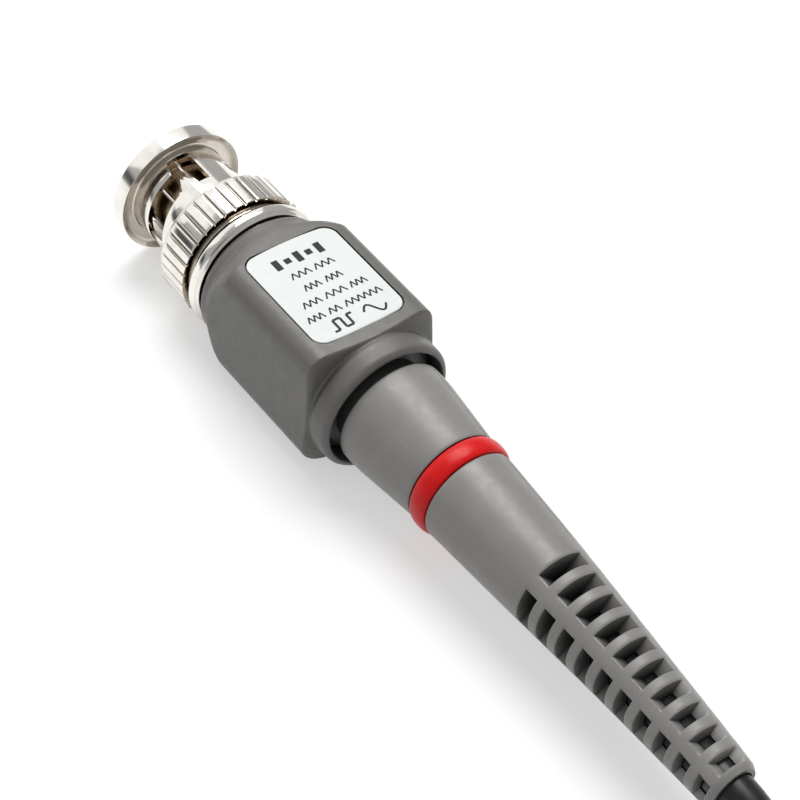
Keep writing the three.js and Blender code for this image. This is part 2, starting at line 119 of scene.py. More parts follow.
def add_camera():
    back = Vector((math.sin(AZIMUTH) * math.cos(ELEVATION),
                   -math.cos(AZIMUTH) * math.cos(ELEVATION), math.sin(ELEVATION)))
    level = Vector((math.cos(AZIMUTH), math.sin(AZIMUTH), 0))
    upright = back.cross(level)
    right = math.cos(ROLL) * level + math.sin(ROLL) * upright
    up = math.cos(ROLL) * upright - math.sin(ROLL) * level
    camera = bpy.data.objects.new("camera", bpy.data.cameras.new("camera"))
    camera.data.lens = LENS
    camera.data.sensor_width = SENSOR
    camera.data.clip_start = 0.01
    camera.matrix_world = Matrix((right, up, back)).transposed().to_4x4()
    camera.location = AIM + back * DISTANCE
    bpy.context.scene.collection.objects.link(camera)
    bpy.context.scene.camera = camera


# ---- meshes

def polar(x, r, turn, sway=None):
    """Points at radius r about the X axis."""
    x, r, turn = np.broadcast_arrays(np.asarray(x, float), r, turn)
    y = -r * np.sin(turn)
    if sway is not None:
        y = y + sway(x)
    return np.stack([x, y, r * np.cos(turn)], axis=-1)


def turns(count):
    return np.arange(count) * FULL / count


def unit(vectors):
    return vectors / np.linalg.norm(vectors, axis=-1, keepdims=True)


def rounded(points, radius, steps=4, closed=False):
    """A polyline with its corners rounded off. A third number on a point is its own radius."""
    line = []
    count = len(points)
    for i, point in enumerate(points):
        here = np.array(point[:2], float)
        reach = point[2] if len(point) > 2 else radius
        if reach == 0 or (not closed and i in (0, count - 1)):
            line.append(here)
            continue
        before = np.array(points[i - 1][:2], float) - here
        after = np.array(points[(i + 1) % count][:2], float) - here
        cut = min(reach, 0.48 * np.linalg.norm(before), 0.48 * np.linalg.norm(after))
        start, end = here + unit(before) * cut, here + unit(after) * cut
        for t in np.linspace(0, 1, steps + 1):
            line.append((1 - t) ** 2 * start + 2 * t * (1 - t) * here + t * t * end)
    return np.array(line)


def skin(rings, closed=False):
    """A surface through rings of points: open ends are capped, or the last ring meets the first."""
    rings = np.asarray(rings, float)
    rows, columns = rings.shape[:2]
    faces = []
    for i in range(rows if closed else rows - 1):
        for j in range(columns):
            k = (j + 1) % columns
            n = (i + 1) % rows
            faces.append((i * columns + j, i * columns + k, n * columns + k, n * columns + j))
    if not closed:
        faces.append(tuple(range(columns)))
        faces.append(tuple(range((rows - 1) * columns, rows * columns)))
    return rings.reshape(-1, 3), faces


def turned(profile, columns=96, sway=None):
    """A piece turned about the X axis from [x, radius] points: from axis to axis, or closed."""
    profile = np.asarray(profile, float)
    rings = polar(profile[:, :1], profile[:, 1:], turns(columns), sway)
    return skin(rings, closed=profile[:, 1].min() > 0)


def crosswise(shape):
    """A shape about the X axis laid along the Y axis instead."""
    points, faces = shape
    return points[:, [1, 0, 2]], faces


def perforated(outer, inner, holes=None):
    """A wall between two equal grids of points. holes marks the cells that are left open."""
    rows, columns = outer.shape[:2]
    size = rows * columns
    solid = np.ones((rows - 1, columns), bool) if holes is None else ~holes
    faces = []

    def wall(a, b):
        faces.append((a, b, b + size, a + size))

    for i, j in np.argwhere(solid).tolist():
        k = (j + 1) % columns
        a, b = i * columns + j, i * columns + k
        c, d = b + columns, a + columns
        faces.append((a, b, c, d))
        faces.append((d + size, c + size, b + size, a + size))
        if i == 0 or not solid[i - 1, j]:
            wall(a, b)
        if i == rows - 2 or not solid[i + 1, j]:
            wall(c, d)
        if not solid[i, j - 1]:
            wall(d, a)
        if not solid[i, k]:
            wall(b, c)
    return np.concatenate([outer.reshape(-1, 3), inner.reshape(-1, 3)]), faces


def tube(x, outer_r, inner_r, turn, holes=None):
    """A wall about the X axis, from its radii outside and inside at the stations x."""
    return perforated(polar(x, outer_r, turn), polar(x, inner_r, turn), holes)


def extruded(outline, bottom, top):
    """A plate between two heights."""
    rings = [[(x, y, z) for x, y in outline] for z in (bottom, top)]
    return skin(rings)


def rounded_rectangle(length, width, corner, steps=8):
    """Points round a flat rectangle with arcs for its corners."""
    points = []
    for sx, sy, start in ((1, 1, 0), (-1, 1, 90), (-1, -1, 180), (1, -1, 270)):
        for angle in np.radians(start + np.linspace(0, 90, steps + 1)):
            points.append((sx * (length / 2 - corner) + corner * math.cos(angle),
                           sy * (width / 2 - corner) + corner * math.sin(angle)))
    return np.array(points)


def swept(path, section, up=(0, 0, 1)):
    """A section of [side, up] points carried along a path that never runs straight up."""
    along = unit(np.gradient(path, axis=0))
    side = unit(np.cross(along, up))
    top = np.cross(side, along)
    return path[:, None] + section[None, :, :1] * side[:, None] + section[None, :, 1:] * top[:, None]


def circle(r, count):
    angle = turns(count)
    return r * np.stack([np.cos(angle), np.sin(angle)], axis=-1)


def joined(shapes):
    """Several shapes as one."""
    points, faces, start = [], [], 0
    for part, part_faces in shapes:
        points.append(part)
        faces += [tuple(i + start for i in face) for face in part_faces]
        start += len(part)
    return np.concatenate(points), faces


def make(name, shape, at=(0, 0, 0)):
    """A mesh object from a shape, moved from its local axis to its place in the frame."""
    points, faces = shape
    mesh = bpy.data.meshes.new(name)
    mesh.from_pydata(((points + np.array(at)) * MM).tolist(), [], faces)
    work = bmesh.new()
    work.from_mesh(mesh)
    bmesh.ops.remove_doubles(work, verts=work.verts, dist=1e-7)
    bmesh.ops.dissolve_degenerate(work, edges=work.edges, dist=1e-8)
    bmesh.ops.recalc_face_normals(work, faces=work.faces)
    work.to_mesh(mesh)
    work.free()
    piece = bpy.data.objects.new(name, mesh)
    bpy.context.scene.collection.objects.link(piece)
    return piece


def carve(piece, cutter):
    """Takes the cutter's solid out of a piece."""
    change = piece.modifiers.new("carve", "BOOLEAN")
    change.operation = "DIFFERENCE"
    change.solver = "EXACT"
    change.object = cutter
    bpy.context.view_layer.update()
    graph = bpy.context.evaluated_depsgraph_get()
    mesh = bpy.data.meshes.new_from_object(piece.evaluated_get(graph))
    piece.modifiers.clear()
    old = piece.data
    piece.data = mesh
    bpy.data.meshes.remove(old)
    bpy.data.objects.remove(cutter)


SHARP_ANGLE = math.radians(34)


def dress(piece, finish, *nodes):
    """Gives a piece its finish and smooth shading, puts it in the body of its first CAD node, and
    hides the CAD nodes that it stands for.
    """
    piece.data.materials.clear()
    piece.data.materials.append(FINISH[finish])
    piece.data.shade_smooth()
    piece.data.set_sharp_from_angle(angle=SHARP_ANGLE)
    weights = piece.modifiers.new("weights", "WEIGHTED_NORMAL")
    weights.keep_sharp = True
    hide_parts(*nodes)
    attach(piece, frame["nodes"][nodes[0]]["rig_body"])


def add(name, shape, finish, node, at=CONNECTOR):
    """A finished piece that stands for one CAD node."""
    dress(make(name, shape, at), finish, node)


def lathe(name, profile, finish, node, at=CONNECTOR, columns=96, round_to=0.08):
    """A turned piece that stands for one CAD node."""
    closed = min(point[1] for point in profile) > 0
    add(name, turned(rounded(profile, round_to, closed=closed), columns), finish, node, at)


# ---- materials

SPECK_EDGE, SPECK_CORE = 0.022, 0.012  # a speck's radii, as shares of the distance between specks
RUBBED_FROM, RUBBED_TO = 0.53, 0.68  # pointiness, which is 0.5 on flat faces
BURIED = 0.25  # the open share of a surface deep in a hollow, where the painted shade is darkest


class Recipe:
    """A Principled material, built node by node from the piece's own coordinates."""

    def __init__(self, name, **sockets):
        self.material = bpy.data.materials.new(name)
        self.material.use_nodes = True
        self.tree = self.material.node_tree
        self.shader = self.tree.nodes["Principled BSDF"]
        self.place = self.node("TexCoord").outputs["Object"]
        for key, value in sockets.items():
            self.shader.inputs[key.replace("_", " ")].default_value = value

    def node(self, kind, inputs=None, **settings):
        made = self.tree.nodes.new("ShaderNode" + kind)
        for key, value in settings.items():
            setattr(made, key, value)
        for key, value in (inputs or {}).items():
            if isinstance(value, bpy.types.NodeSocket):
                self.tree.links.new(value, made.inputs[key])
            else:
                made.inputs[key].default_value = value
        return made

    def stretched(self, stretch):
        return self.node("Mapping", {"Vector": self.place, "Scale": stretch}).outputs["Vector"]

    def noise(self, size, detail=3.0, roughness=0.55, stretch=None):
        """Noise whose features are about this many millimetres across."""
        place = self.stretched(stretch) if stretch else self.place
        return self.node("TexNoise", {
            "Vector": place, "Scale": 1 / (size * MM), "Detail": detail,
            "Roughness": roughness}).outputs["Fac"]

    def specks(self, apart, strength):
        """Small specks scattered about this many millimetres apart."""
        cells = self.node("TexVoronoi", {"Vector": self.place, "Scale": 1 / (apart * MM)})
        return self.span(cells.outputs["Distance"], SPECK_EDGE, SPECK_CORE, 0, strength)

    def span(self, value, low, high, to_low=0.0, to_high=1.0):
        return self.node("MapRange", {
            "Value": value, "From Min": low, "From Max": high, "To Min": to_low,
            "To Max": to_high}).outputs["Result"]

    def vary(self, noise, low, high, start=0.3, stop=0.7):
        """From low to high, two numbers or two colours, as the noise rises."""
        if isinstance(low, tuple):
            return self.mix(self.span(noise, start, stop), low, high)
        return self.span(noise, start, stop, low, high)

    def sum(self, first, second):
        return self.node("Math", {0: first, 1: second}).outputs[0]

    def mix(self, factor, first, second):
        return self.node("Mix", {0: factor, 6: first, 7: second}, data_type="RGBA").outputs[2]

    def worn(self, strength):
        """Up to this strength along outward edges, from the mesh's own curvature."""
        edges = self.node("NewGeometry").outputs["Pointiness"]
        return self.span(edges, RUBBED_FROM, RUBBED_TO, 0, strength)

    def painted_hollow_shade(self, colour, dark, reach, unshaded_from=0.9):
        """Painted shade: the colour, darkened by ambient occlusion where the surface lies in a hollow
        of about this many millimetres.
        """
        hollow = self.node("AmbientOcclusion", {"Distance": reach * MM}, samples=6)
        return self.mix(self.span(hollow.outputs["AO"], BURIED, unshaded_from), dark, colour)

    def bump(self, height, depth, below=None):
        """A height in millimetres added to the surface's normal."""
        inputs = {"Height": height, "Distance": depth * MM, "Strength": 1.0}
        if below is not None:
            inputs["Normal"] = below
        return self.node("Bump", inputs).outputs["Normal"]

    def finish(self, colour, roughness=None, normal=None):
        for key, value in (("Base Color", colour), ("Roughness", roughness), ("Normal", normal)):
            if value is not None:
                self.tree.links.new(value, self.shader.inputs[key])
        return self.material


def shade(value, tint=(1, 1, 1)):
    return (value * tint[0], value * tint[1], value * tint[2], 1)


def moulded(name, colour, light, rough, grain=0.16, depth=0.012, reach=1.8):
    """Moulded plastic with a spark-eroded grain, faint mottling, polished edges, dust, and painted
    shade in its hollows.
    """
    mat = Recipe(name, Specular_IOR_Level=0.5)
    speckle = mat.noise(grain, detail=2.0, roughness=0.7)
    mottle = mat.noise(3.5, detail=4.0)
    base = mat.vary(mottle, shade(0.94, colour), shade(1.05, colour), 0.35, 0.65)
    grained = mat.mix(mat.span(speckle, 0.32, 0.7, 0, 0.42), base, shade(1.0, light))
    rubbed = mat.mix(mat.worn(0.3), grained, shade(1.15, light))
    dusty = mat.mix(mat.specks(4.5, 0.35), rubbed, shade(0.6))
    shine = mat.vary(mat.noise(1.1), rough - 0.06, rough + 0.07)
    normal = mat.bump(speckle, depth)
    # Darker in its hollows by ambient occlusion: painted shade.
    return mat.finish(mat.painted_hollow_shade(dusty, shade(0.12, colour), reach), shine, normal)


def plated(name, colour, rough):
    """Plated metal: fine turning lines, soft stains, hairline scratches, and a warm darkening in its
    hollows that is partly tarnish and partly painted shade.
    """
    mat = Recipe(name, Metallic=1.0)
    stain = mat.noise(2.2, detail=4.0, roughness=0.6)
    base = mat.vary(stain, shade(1.0, colour), shade(0.86, colour), 0.35, 0.72)
    scratch = mat.noise(0.5, detail=5.0, roughness=0.75, stretch=(0.25, 1, 1))
    scratched = mat.vary(scratch, 0, 0.10, 0.64, 0.74)
    shine = mat.sum(mat.vary(stain, rough * 0.75, rough * 1.4, stop=0.75), scratched)
    lines = mat.noise(0.09, detail=2.0, stretch=(1, 0.03, 0.03))
    normal = mat.bump(lines, 0.0012, mat.bump(mat.noise(1.2, detail=2.0), 0.004))
    # Darker and browner in its hollows by ambient occlusion at two reaches: partly tarnish, partly
    # painted shade.
    warm = (colour[0], 0.84 * colour[1], 0.62 * colour[2])
    shaded_and_tarnished = mat.painted_hollow_shade(base, shade(0.34, warm), 3.6, 0.8)
    return mat.finish(mat.painted_hollow_shade(shaded_and_tarnished, shade(0.3, warm), 0.6, 0.6), shine, normal)


def jacket(name, rough, gloss):
    """Extruded black vinyl: mottled, slightly uneven and softly shining."""
    mat = Recipe(name, Specular_IOR_Level=gloss)
    colour = mat.vary(mat.noise(1.8, detail=4.0), shade(0.0075), shade(0.014, (1, 1, 1.06)))
    shine = mat.vary(mat.noise(0.8), rough - 0.05, rough + 0.12)
    return mat.finish(colour, shine, mat.bump(mat.noise(0.5, detail=2.0), 0.002))


def glossy_red(name):
    mat = Recipe(name, Specular_IOR_Level=0.25)
    deep, bright = shade(0.68, (1, 0.004, 0.005)), shade(0.80, (1, 0.010, 0.010))
    colour = mat.vary(mat.noise(1.6), deep, bright)
    shine = mat.vary(mat.noise(0.6), 0.28, 0.4)
    return mat.finish(colour, shine, mat.bump(mat.noise(0.25, detail=2.0), 0.004))


def printed_film(name):
    """The label's pale film with a faint paper tooth."""
    mat = Recipe(name, Specular_IOR_Level=0.45)
    tooth = mat.noise(0.12, roughness=0.7)
    cloud = mat.noise(2.4)
    colour = mat.vary(tooth, shade(0.80, (0.955, 1.0, 0.975)), shade(0.86, (0.965, 1.0, 0.98)))
    aged = mat.mix(mat.span(cloud, 0.45, 0.9, 0, 0.12), colour, shade(0.74, (1, 0.98, 0.92)))
    return mat.finish(aged, mat.vary(cloud, 0.42, 0.55), mat.bump(tooth, 0.003))


def ink(name):
    mat = Recipe(name, Specular_IOR_Level=0.25)
    patch = mat.noise(0.2, detail=4.0)
    colour = mat.vary(patch, shade(0.010), shade(0.026, (1, 1.02, 1.02)), 0.35, 0.75)
    return mat.finish(colour, mat.vary(patch, 0.45, 0.6), mat.bump(patch, 0.003))


def woven(name):
    """Black hook-and-loop webbing: ribs across the strap and a fuzz of loops."""
    mat = Recipe(name, Sheen_Weight=0.5, Sheen_Roughness=0.6, Specular_IOR_Level=0.2)
    ribs = mat.node("TexWave", {
        "Vector": mat.place, "Scale": 0.32 / MM, "Distortion": 1.2, "Detail": 2.0,
        "Detail Scale": 2.0}, bands_direction="X").outputs["Fac"]
    fuzz = mat.noise(0.22, detail=4.0, roughness=0.7)
    height = mat.sum(ribs, fuzz)
    colour = mat.vary(height, shade(0.008), shade(0.035, (1, 1, 1.05)), 0.5, 1.5)
    return mat.finish(colour, mat.vary(fuzz, 0.75, 0.95), mat.bump(height, 0.06))


def soft_solid(name, colour, rough, **sockets):
    """Resin, ceramic or laminate: cloudy colour, fine pores and uneven shine."""
    mat = Recipe(name, **sockets)
    cloud = mat.noise(1.5, detail=4.0)
    pores = mat.noise(0.3, roughness=0.7)
    base = mat.vary(cloud, shade(0.88, colour), shade(1.08, colour))
    porous = mat.mix(mat.span(pores, 0.5, 0.8, 0, 0.4), base, shade(0.7, colour))
    shine = mat.vary(cloud, rough - 0.08, rough + 0.08)
    return mat.finish(porous, shine, mat.bump(pores, 0.004))


GREY_BOX, PALE_BOX = (0.142, 0.137, 0.127), (0.180, 0.175, 0.163)
GREY_BOOT, PALE_BOOT = (0.262, 0.254, 0.242), (0.312, 0.303, 0.289)
BLACK, PALE_BLACK = (0.018, 0.018, 0.019), (0.034, 0.034, 0.036)

FINISH = {
    "nickel": plated("nickel_plate", (0.88, 0.855, 0.81), 0.12),
    "contact": plated("contact_metal", (0.46, 0.36, 0.25), 0.2),
    "brass": plated("brass", (0.78, 0.58, 0.29), 0.3),
    "gold": plated("gold_plate", (0.90, 0.68, 0.32), 0.2),
    "steel": plated("spring_steel", (0.60, 0.60, 0.61), 0.28),
    "housing": moulded("housing_plastic", GREY_BOX, PALE_BOX, 0.42),
    "boot": moulded("boot_rubber", GREY_BOOT, PALE_BOOT, 0.38, grain=0.2, depth=0.008, reach=2.5),
    "label": printed_film("label_film"),
    "ink": ink("label_ink"),
    "ring": glossy_red("ring_plastic"),
    "jacket": jacket("lead_jacket", 0.3, 0.4),
    "shaded_jacket": jacket("boot_cable_jacket", 0.4, 0.12),
    "black_plastic": moulded("black_plastic", BLACK, PALE_BLACK, 0.4),
    "webbing": woven("tie_webbing"),
    "ptfe": soft_solid("ptfe", (0.84, 0.84, 0.82), 0.42, Subsurface_Weight=0.1),
    "seal": soft_solid("silicone_seal", (0.20, 0.035, 0.025), 0.45),
    "board": soft_solid("board_laminate", (0.02, 0.14, 0.06), 0.35),
    "component": soft_solid("component_body", (0.52, 0.27, 0.10), 0.45),
    "resistor": soft_solid("resistor_body", (0.22, 0.42, 0.50), 0.4),
}


# ---- the free lead

LEAD_Y = float(lean(LEAD_START))
FOLD_R = (HANK_HIGH[1] - HANK_LOW[1]) / 2 - CABLE_R
HANK_Y = middle("cable_hank")[1]
NEAR_RUN, FAR_RUN = HANK_Y - FOLD_R, HANK_Y + FOLD_R
LEFT_FOLD = HANK_LOW[0] + CABLE_R + FOLD_R  # centres of the folds at the two ends
RIGHT_FOLD = HANK_HIGH[0] - CABLE_R - FOLD_R
LAYERS, LAYER = 5, 2 * CABLE_R
TIE_X = middle("hank_tie")[0]
TIE_LIFT, LIFT_REACH = HANK_LOW[2], 26  # the strap lifts the turns that it passes under
FOLD_STEPS = 16
STEP = 6.0  # between points of the straight runs

LEAD_IN = [
    (LEAD_START, LEAD_Y, BOX_HALF), (65, LEAD_Y - 0.15, 7.6), (69, LEAD_Y - 0.2, 6.7),
    (73, LEAD_Y - 0.2, 5.1), (77, LEAD_Y - 0.2, 3.5), (80, LEAD_Y - 0.2, 2.6),
    (82, LEAD_Y - 0.2, 2.15), (LEFT_FOLD - 10.4, NEAR_RUN, CABLE_R),
]


def ease(share):
    return share * share * (3 - 2 * share)


def late_ease(share):
    """Stays level longer before it sinks, so that the last turn clears the fold below it."""
    return 0.5 * (2 * share) ** 2.2 if share < 0.5 else ease(share)


def straight(start, end, y, z):
    count = max(2, round(abs(end - start) / STEP))
    return [(start + (end - start) * k / count, y, z) for k in range(1, count)]


def fold(centre_x, centre_y, r, side, z_from, z_to, rise=ease):
    """A half turn: side 1 runs from -Y round to +Y past +X, side -1 from +Y round to -Y past -X."""
    points = []
    for share in np.arange(FOLD_STEPS + 1) / FOLD_STEPS:
        points.append((centre_x + side * r * math.sin(math.pi * share),
                       centre_y - side * r * math.cos(math.pi * share),
                       z_from + (z_to - z_from) * rise(share)))
    return points


def lead_points():
    """The lead from the boot's tip to the probe head: in, round the hank's turns, and out."""
    points = list(LEAD_IN)
    for layer in range(LAYERS):
        z = CABLE_R + layer * LAYER
        points += straight(points[-1][0], RIGHT_FOLD, NEAR_RUN, z)
        points += fold(RIGHT_FOLD, HANK_Y, FOLD_R, 1, z, z)
        points += straight(RIGHT_FOLD, LEFT_FOLD, FAR_RUN, z)
        if layer < LAYERS - 1:
            points += fold(LEFT_FOLD, HANK_Y, FOLD_R, -1, z, z + LAYER)
    centre_y, wide = (FAR_RUN + HEAD[1]) / 2, (FAR_RUN - HEAD[1]) / 2
    points += fold(LEFT_FOLD, centre_y, wide, -1, z, HEAD[2], late_ease)
    points += [HEAD, (HEAD[0] + 2.5, HEAD[1], HEAD[2])]
    lifted = []
    for x, y, z in points:
        near = max(0.0, 1 - abs(x - TIE_X) / LIFT_REACH) if x > LEFT_FOLD else 0.0
        lifted.append((x, y, z + TIE_LIFT * ease(min(1.0, 1.35 * near))))
    return np.array(lifted)


def smooth_path(points, spacing):
    """A Catmull-Rom curve through the points, with steps of about this length."""
    padded = np.concatenate([2 * points[:1] - points[1:2], points, 2 * points[-1:] - points[-2:-1]])
    path = []
    for a, b, c, d in zip(padded, padded[1:], padded[2:], padded[3:]):
        steps = max(1, round(float(np.linalg.norm(c - b)) / spacing))
        for t in np.arange(steps) / steps:
            path.append(0.5 * (2 * b + (c - a) * t + (2 * a - 5 * b + 4 * c - d) * t ** 2
                               + (3 * b - a - 3 * c + d) * t ** 3))
    path.append(points[-1])
    return np.array(path)


def build_lead():
    path = smooth_path(lead_points(), 1.6)
    lead = make("probe_lead", skin(swept(path, circle(CABLE_R, 20))))
    dress(lead, "jacket", "cable_lead_in", "cable_hank", "cable_lead_out")


# ---- bayonet coupling nut: distances along it are from its front

FLANGE_R, NECK_R, BORE_R = 7.25, 5.5, 4.9
NECK_FROM, NECK_TO = 1.95, 8.4
CHAMBER_R, CHAMBER_FROM = 6.3, 10.1
KNURL_R, KNURL_ROOT = 7.6, 7.32
RIBS, RIB_COLUMNS = 36, 12
RIB_SECTION = (0.0, 0.0, 0.85, 1, 1, 1, 1, 1, 1, 1, 1, 0.85)

# The cam window's two edges against the angle round the neck, in degrees: the bayonet stud's
# entry, the curved track with its hooked detent, and the narrow relief cut past its end.
WINDOW_FROM, WINDOW_TO = -4.2, 140
FRONT_EDGE = ((-10, 22, 27, 60, 100, 150), (2.1, 2.1, 3.75, 3.9, 4.1, 4.2))
REAR_EDGE = (
    (-10, 10, 12, 16, 20, 22.5, 25, 28, 31, 33, 36, 48, 75, 97, 99, 150),
    (6.45, 6.45, 5.4, 5.15, 4.8, 4.7, 5.1, 5.8, 6.25, 6.0, 6.3, 6.4, 6.7, 6.7, 4.6, 4.5))
ENTRY_TO, ENTRY_DEPTH = 21, 0.4
REAR_GAP = 0.12  # the shadow gap ahead of the collar
RIM_DROP, RIM_STEP = 0.035, 0.07  # the softened edge round a window


def nut_rows():
    """The nut's wall as rows of (outer x, outer r, inner x, inner r) over its columns."""
    columns = RIBS * RIB_COLUMNS
    turn = turns(columns)
    degrees = (np.degrees(turn) + 20) % 180 - 20  # two equal tracks, half a turn apart
    front = np.interp(degrees, *FRONT_EDGE)
    rear = np.interp(degrees, *REAR_EDGE)
    cut = (degrees > WINDOW_FROM) & (degrees < WINDOW_TO)
    entry = (degrees > WINDOW_FROM) & (degrees < ENTRY_TO)
    rim = NECK_R - RIM_DROP * cut
    bore = BORE_R + ENTRY_DEPTH * entry
    rib = (KNURL_R - KNURL_ROOT) * np.tile(RIB_SECTION, RIBS)
    rows = []

    def row(outer_x, outer_r, inner_x=None, inner_r=BORE_R):
        inner_x = outer_x if inner_x is None else inner_x
        rows.append([np.broadcast_to(v, columns) for v in (outer_x, outer_r, inner_x, inner_r)])

    flange = rounded([
        (0, BORE_R + 0.25), (0, FLANGE_R, 0.24), (2.0, FLANGE_R, 0.1), (1.32, 6.5, 0.9),
        (1.30, NECK_R, 0.5), (NECK_FROM, NECK_R)], 0.2, steps=7)
    for (x, r), inner_x in zip(flange, np.linspace(0.22, NECK_FROM, len(flange))):
        row(x, np.maximum(r, bore + 0.2) if x < 1 else r, inner_x, bore)
    for share in (0.3, 0.65, 1.0):
        row(NECK_FROM + share * (front - RIM_STEP - NECK_FROM), NECK_R)
    first = len(rows)
    row(front, rim)
    for share in (0.2, 0.4, 0.6, 0.8):
        row(front + share * (rear - front), NECK_R)
    row(rear, rim)
    last = len(rows) - 1
    for share in (0.0, 0.5, 1.0):
        row(rear + RIM_STEP + share * (NECK_TO - rear - RIM_STEP), NECK_R)
    for x, r in rounded([
            (8.5, NECK_R), (8.75, NECK_R + 0.08, 0.15), (9.1, 6.8, 0.2), (9.3, KNURL_ROOT, 0.2),
            (9.5, KNURL_ROOT)], 0.2, steps=3):
        row(x, r)
    for x, share in ((9.56, 0.35), (9.66, 0.8), (9.8, 1), (11.0, 1), (12.4, 1), (13.35, 1),
                     (13.52, 0.93), (13.6, 0.75), (13.62, 0.0)):
        row(x, KNURL_ROOT + share * rib, inner_r=BORE_R if x < CHAMBER_FROM else CHAMBER_R)
    end = NUT_REAR - NUT_FRONT - REAR_GAP
    for x, r in ((13.66, 6.75), (end - 0.05, 6.7), (end, 6.6)):
        row(x, r, inner_r=CHAMBER_R)
    holes = np.zeros((len(rows) - 1, columns), bool)
    holes[first:last] = cut & np.roll(cut, -1)
    return turn, np.array(rows), holes


def build_nut():
    turn, rows, holes = nut_rows()
    outer, inner = (polar(NUT_FRONT + rows[:, k], rows[:, k + 1], turn) for k in (0, 2))
    add("bayonet_nut", perforated(outer, inner, holes), "nickel", "bnc_coupling_nut")


# ---- inside the connector

FINGERS, FINGER_COLUMNS, FINGER_LENGTH = 8, 24, 5.4
FIRST_SLOT, SLOT_COLUMNS = 2, 2  # where the slot nearest the top begins, and its width
SPRING_IN, SPRING_OUT = 5.25, 5.85  # radii of the wave spring
WAVE, WAVES, SPRING_HALF = 0.14, 3, 0.1
SNAP_OUT = 5.95  # radius of the retaining ring


def build_contact_sleeve():
    """The outer contact: a lipped tube slotted into spring fingers."""
    front, rear = ends("bnc_contact_sleeve")
    outside = rounded([
        (0, 3.86), (0.12, 4.0, 0.08), (0.95, 4.0, 0.1), (1.15, 3.72, 0.12), (1.75, 3.72, 0.12),
        (1.95, 3.93, 0.1), (2.6, 3.96), (3.6, 3.97), (4.6, 3.97), (FINGER_LENGTH, 3.97),
        (rear - front, 3.97)], 0.08, steps=3)
    inner_r = np.full((len(outside), 1), 3.5)
    inner_r[0] = 3.62
    turn = turns(FINGERS * FINGER_COLUMNS)
    slot = (np.arange(len(turn)) - FIRST_SLOT) % FINGER_COLUMNS < SLOT_COLUMNS
    ahead = outside[1:, :1] <= FINGER_LENGTH + 0.01
    sleeve = tube(front + outside[:, :1], outside[:, 1:], inner_r, turn, ahead & slot)
    add("contact_fingers", sleeve, "contact", "bnc_contact_sleeve")


def ring_profile(node, outer_r, inner_r):
    front, rear = ends(node)
    return [(front, inner_r), (front, outer_r), (rear, outer_r), (rear, inner_r)]


def build_wave_spring():
    """A flat ring waved along the axis, within its compressed height."""
    turn = turns(144)
    x = middle("wave_spring")[0] + WAVE * np.cos(WAVES * turn)
    rings = [polar(x + side * SPRING_HALF, r, turn) for side, r in (
        (-1, SPRING_IN), (-1, SPRING_OUT), (1, SPRING_OUT), (1, SPRING_IN))]
    add("wave_spring_ring", skin(rings, closed=True), "steel", "wave_spring")


def build_retaining_ring():
    """An open snap ring: most of a turn of flat wire."""
    section = rounded(ring_profile("nut_retaining_ring", SNAP_OUT, SPRING_IN), 0.12, closed=True)
    rings = [polar(*section.T, angle) for angle in np.radians(np.linspace(12, 348, 120))]
    add("snap_ring", skin(rings), "steel", "nut_retaining_ring")


def build_connector_core():
    front, rear = ends("bnc_body")
    lathe("connector_body", [
        (front, 3.6), (front, 4.5), (front + 2, 4.5), (front + 2, 6.0), (front + 2.7, 6.0),
        (front + 2.7, 4.9), (rear, 4.9), (rear, 3.6)], "nickel", "bnc_body")
    front, rear = ends("bnc_dielectric")
    lathe("dielectric", [
        (front, 0.85), (front, 1.5), (front + 0.5, 1.6), (front + 0.5, 2.6), (front, 2.7),
        (front, 3.2), (rear, 3.2), (rear, 0.85)], "ptfe", "bnc_dielectric")
    front, rear = ends("bnc_centre_pin")
    lathe("centre_pin", [
        (front, 0), (front + 0.12, 0.22), (front + 0.9, 0.67), (front + 3.8, 0.67), (front + 3.9, 0.6),
        (front + 4.3, 0.6), (front + 4.4, 0.67), (rear, 0.67), (rear, 0)],
        "gold", "bnc_centre_pin", columns=48)
    lathe("seal_ring", ring_profile("bnc_gasket", 4.72, 4.15), "seal", "bnc_gasket", round_to=0.3)
    lathe("thrust_washer_ring", ring_profile("thrust_washer", 5.97, 5.2), "steel", "thrust_washer")
    build_wave_spring()
    build_retaining_ring()
    front, rear = ends("bnc_rear_collar")
    lathe("polished_collar", [
        (front, 5.2), (front, 6.9, 0.1), (front + 0.32, 7.6, 0.3), (front + 1.2, 7.6, 0.25),
        (front + 1.4, 7.3, 0.1), (rear - 0.26, 7.15, 0.1), (rear - 0.22, 6.7, 0.05), (rear, 6.7),
        (rear, 5.2)], "nickel", "bnc_rear_collar", columns=160)


# ---- compensation box and label

CROWN = 0.22  # how much the faces fall away towards the edges
EDGE_BLEND = 2.2  # softness of the long upper edges
ROUND_BLEND, SHOULDER_BLEND = 0.25, 1.2  # softness where round meets square
UNDER_FILLET = 3.1  # the two lower long edges are well rounded
NECK, COLLAR = 7.6, 7.58  # radii of the round ends
ROOMY = 13.0  # past the corners: nothing is turned away
BORE_FRONT, CAVITY, SOCKET_R = 5.2, 6.2, 6.75
HALVINGS = 34

LABEL_LOW, LABEL_HIGH = corners("label_plate")
LABEL_LENGTH, LABEL_WIDTH = (LABEL_HIGH - LABEL_LOW)[:2]
LABEL_CENTRE = middle("label_plate")[:2]
LABEL_GAP, LABEL_DEPTH, LABEL_CORNER = 0.19, 0.5, 1.3
LABEL_BOW = 0.32  # the short sides bulge this much
LABEL_SINK = 0.04  # the label lies this far below the face
INK_THICK, INK_ROOT = 0.012, -0.02

